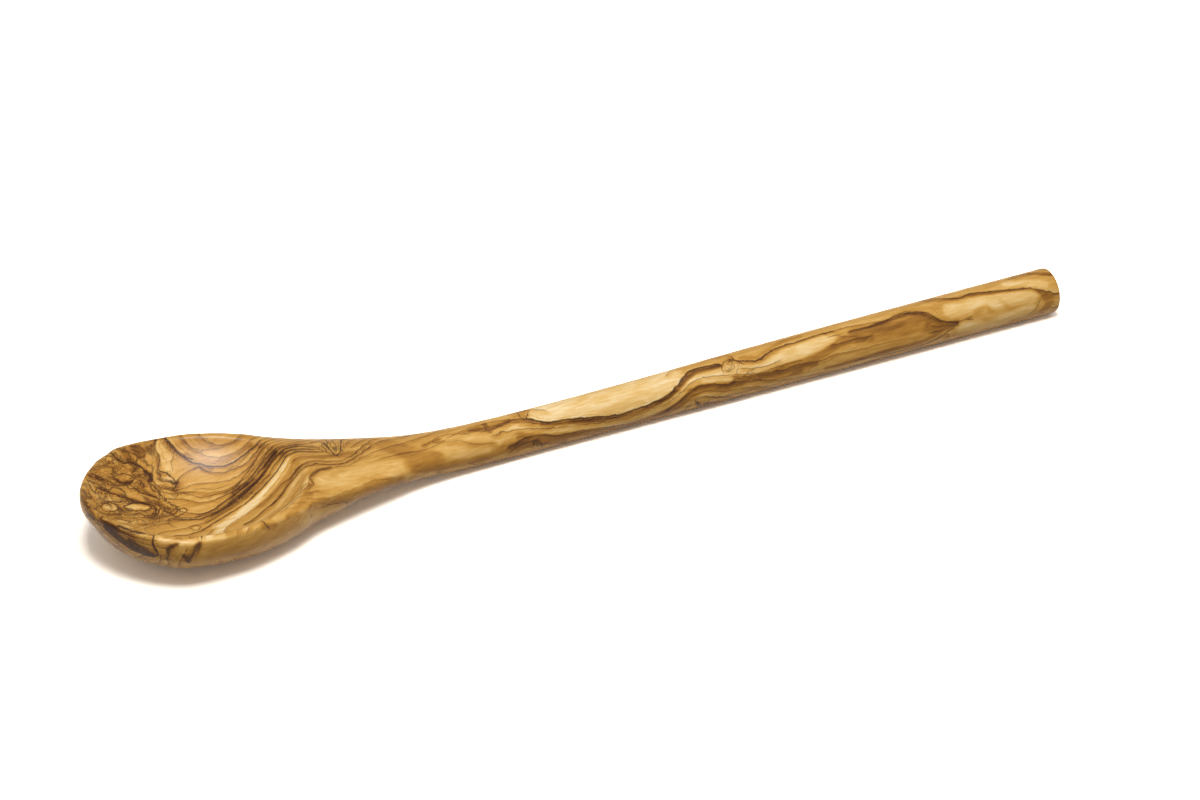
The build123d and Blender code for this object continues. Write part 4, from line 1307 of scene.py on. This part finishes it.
halo = add(wood, "ShaderNodeMapRange", kept["pen gap"], 0.0, HALO_WIDTH, 1.0, 0.0,
           interpolation_type="SMOOTHSTEP")
halo = add(wood, "ShaderNodeMath", halo, kept["pen strength"], operation="MULTIPLY")
line = add(wood, "ShaderNodeMath", line, pen, operation="MAXIMUM")
print(f"pen strokes: {len(wood.nodes)} nodes so far")

# %% [markdown]
# The tone between the veins starts from the brush marks. It rises a little from each ring to the
# next, falls in stains, burl, year rings and halos, and varies with the fibres, which are drawn
# thicker than real ones so that they show, and with a soft mottle. A colour ramp turns it into the
# wood's colours, and the veins go over it.

# %% Tone and colour of the wood
FIBRE_SIZE = 0.714
FIBRE_SHARE = 0.12
MOTTLE_SIZE = 2.857
fibre_place = add(wood, "ShaderNodeVectorMath", place, (FIBRE_SHARE, 1.0, 1.0),
                  operation="MULTIPLY")
fibre = add(wood, "ShaderNodeTexNoise", fibre_place, 1 / FIBRE_SIZE, 3.0, 0.6, 2.0, 0.0,
            noise_dimensions="3D")
fibre = add(wood, "ShaderNodeMath", fibre, 0.5, operation="SUBTRACT")
mottle = add(wood, "ShaderNodeTexNoise", long_place, 1 / MOTTLE_SIZE, 4.0, 0.6, 2.0, 0.5,
             noise_dimensions="3D")
mottle = add(wood, "ShaderNodeMath", mottle, 0.5, operation="SUBTRACT")
rise = add(wood, "ShaderNodeMath", part, 0.5, operation="SUBTRACT")
rise = add(wood, "ShaderNodeMath", rise, strength, operation="MULTIPLY")
tone = kept["tone"]
for change, weight in ((rise, 0.16), (stain, -0.2), (burl, -0.05), (years, -0.28), (halo, -0.06),
                       (fibre, 0.3), (mottle, 0.35)):
    tone = add(wood, "ShaderNodeMath", change, weight, tone, operation="MULTIPLY_ADD")
colour = add(wood, "ShaderNodeValToRGB", tone)
stops = colour.node.color_ramp.elements
while len(stops) < len(WOOD_TONES):
    stops.new(0.5)
for stop, (where, code) in zip(stops, WOOD_TONES):
    stop.position = where
    stop.color = linear(code)
colour = add(wood, "ShaderNodeMix", line, colour, linear(VEIN_BROWN), data_type="RGBA")
wood.links.new(colour, skin.inputs["Base Color"])
skin.inputs["IOR"].default_value = 1.5
skin.inputs["Roughness"].default_value = 0.33
skin.inputs["Specular IOR Level"].default_value = 0.11
print(f"olive wood: {len(wood.nodes)} nodes")

# %% [markdown]
# The carved mesh takes the place of the plain solid of the spoon, and belongs to the only body.

# %% Put the spoon in its place
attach(spoon, "root")
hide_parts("spoon")
print("the spoon stands for its solid")

# %% [markdown]
# ## The table and the light
# The spoon lies on a plain pale table under soft studio light. The table is a grey that throws
# little light back up at the wood. The camera and mirrored rays see it lifted to white, and the
# shadow stays, because the lift is a diffuse surface too.

# %% Floor
FLOOR_REACH = 3.0
FLOOR_COLOUR = "#96928A"
FLOOR_LIFT = (1.76, 1.67, 1.53, 1.0)
corners = [(-FLOOR_REACH, -FLOOR_REACH, 0), (FLOOR_REACH, -FLOOR_REACH, 0),
           (FLOOR_REACH, FLOOR_REACH, 0), (-FLOOR_REACH, FLOOR_REACH, 0)]
floor_mesh = bpy.data.meshes.new("floor")
floor_mesh.from_pydata(corners, [], [(0, 1, 2, 3)])
floor = bpy.data.objects.new("floor", floor_mesh)
bpy.context.scene.collection.objects.link(floor)
pale_table = bpy.data.materials.new("pale_table")
pale_table.use_nodes = True
table = pale_table.node_tree
table.nodes.remove(table.nodes["Principled BSDF"])
matt = add(table, "ShaderNodeBsdfDiffuse", linear(FLOOR_COLOUR))
seen = add(table, "ShaderNodeLightPath", out=0)
mirrored = add(table, "ShaderNodeLightPath", out=3)
through = add(table, "ShaderNodeLightPath", out=6)
seen = add(table, "ShaderNodeMath", seen, mirrored, operation="MAXIMUM")
seen = add(table, "ShaderNodeMath", seen, through, operation="MAXIMUM")
bright = add(table, "ShaderNodeBsdfDiffuse", FLOOR_LIFT)
unlit = add(table, "ShaderNodeBsdfDiffuse", (0.0, 0.0, 0.0, 1.0))
bright = add(table, "ShaderNodeMixShader", seen, unlit, bright)
whole = add(table, "ShaderNodeAddShader", matt, bright)
table.links.new(whole, table.nodes["Material Output"].inputs["Surface"])
floor_mesh.materials.append(pale_table)
print(f"floor {2 * FLOOR_REACH:.0f} m wide")

# %% [markdown]
# A large soft box above the front lights the spoon and keeps its shadow short. A dim white world
# fills the shade. A smaller box hangs straight above the bowl and gives only sheen, the soft glow
# in the far wall of the hollow, so it is hidden from diffuse rays and throws no shadow.

# %% World and lamps
WORLD_STRENGTH = 0.36
world = bpy.data.worlds.new("studio")
world.use_nodes = True
world.node_tree.nodes["Background"].inputs["Color"].default_value = (1, 1, 1, 1)
world.node_tree.nodes["Background"].inputs["Strength"].default_value = WORLD_STRENGTH
bpy.context.scene.world = world


def lamp(name, place, aim, size, power):
    """A square soft box that hangs at a place and shines on a point."""
    light = bpy.data.lights.new(name, "AREA")
    light.shape = "SQUARE"
    light.size = size
    light.energy = power
    box = bpy.data.objects.new(name, light)
    box.location = place
    box.rotation_euler = (Vector(aim) - Vector(place)).to_track_quat("-Z", "Y").to_euler()
    bpy.context.scene.collection.objects.link(box)
    return box


AIM = (-0.05, 0, 0)
lamp("soft_box", (-0.15, -0.36, 1.02), AIM, 0.42, 9.1)
sheen_box = lamp("sheen_box", (-0.13, -0.11, 1.07), AIM, 0.3, 19)
sheen_box.visible_diffuse = False
print(f"{len(bpy.data.lights)} lamps")
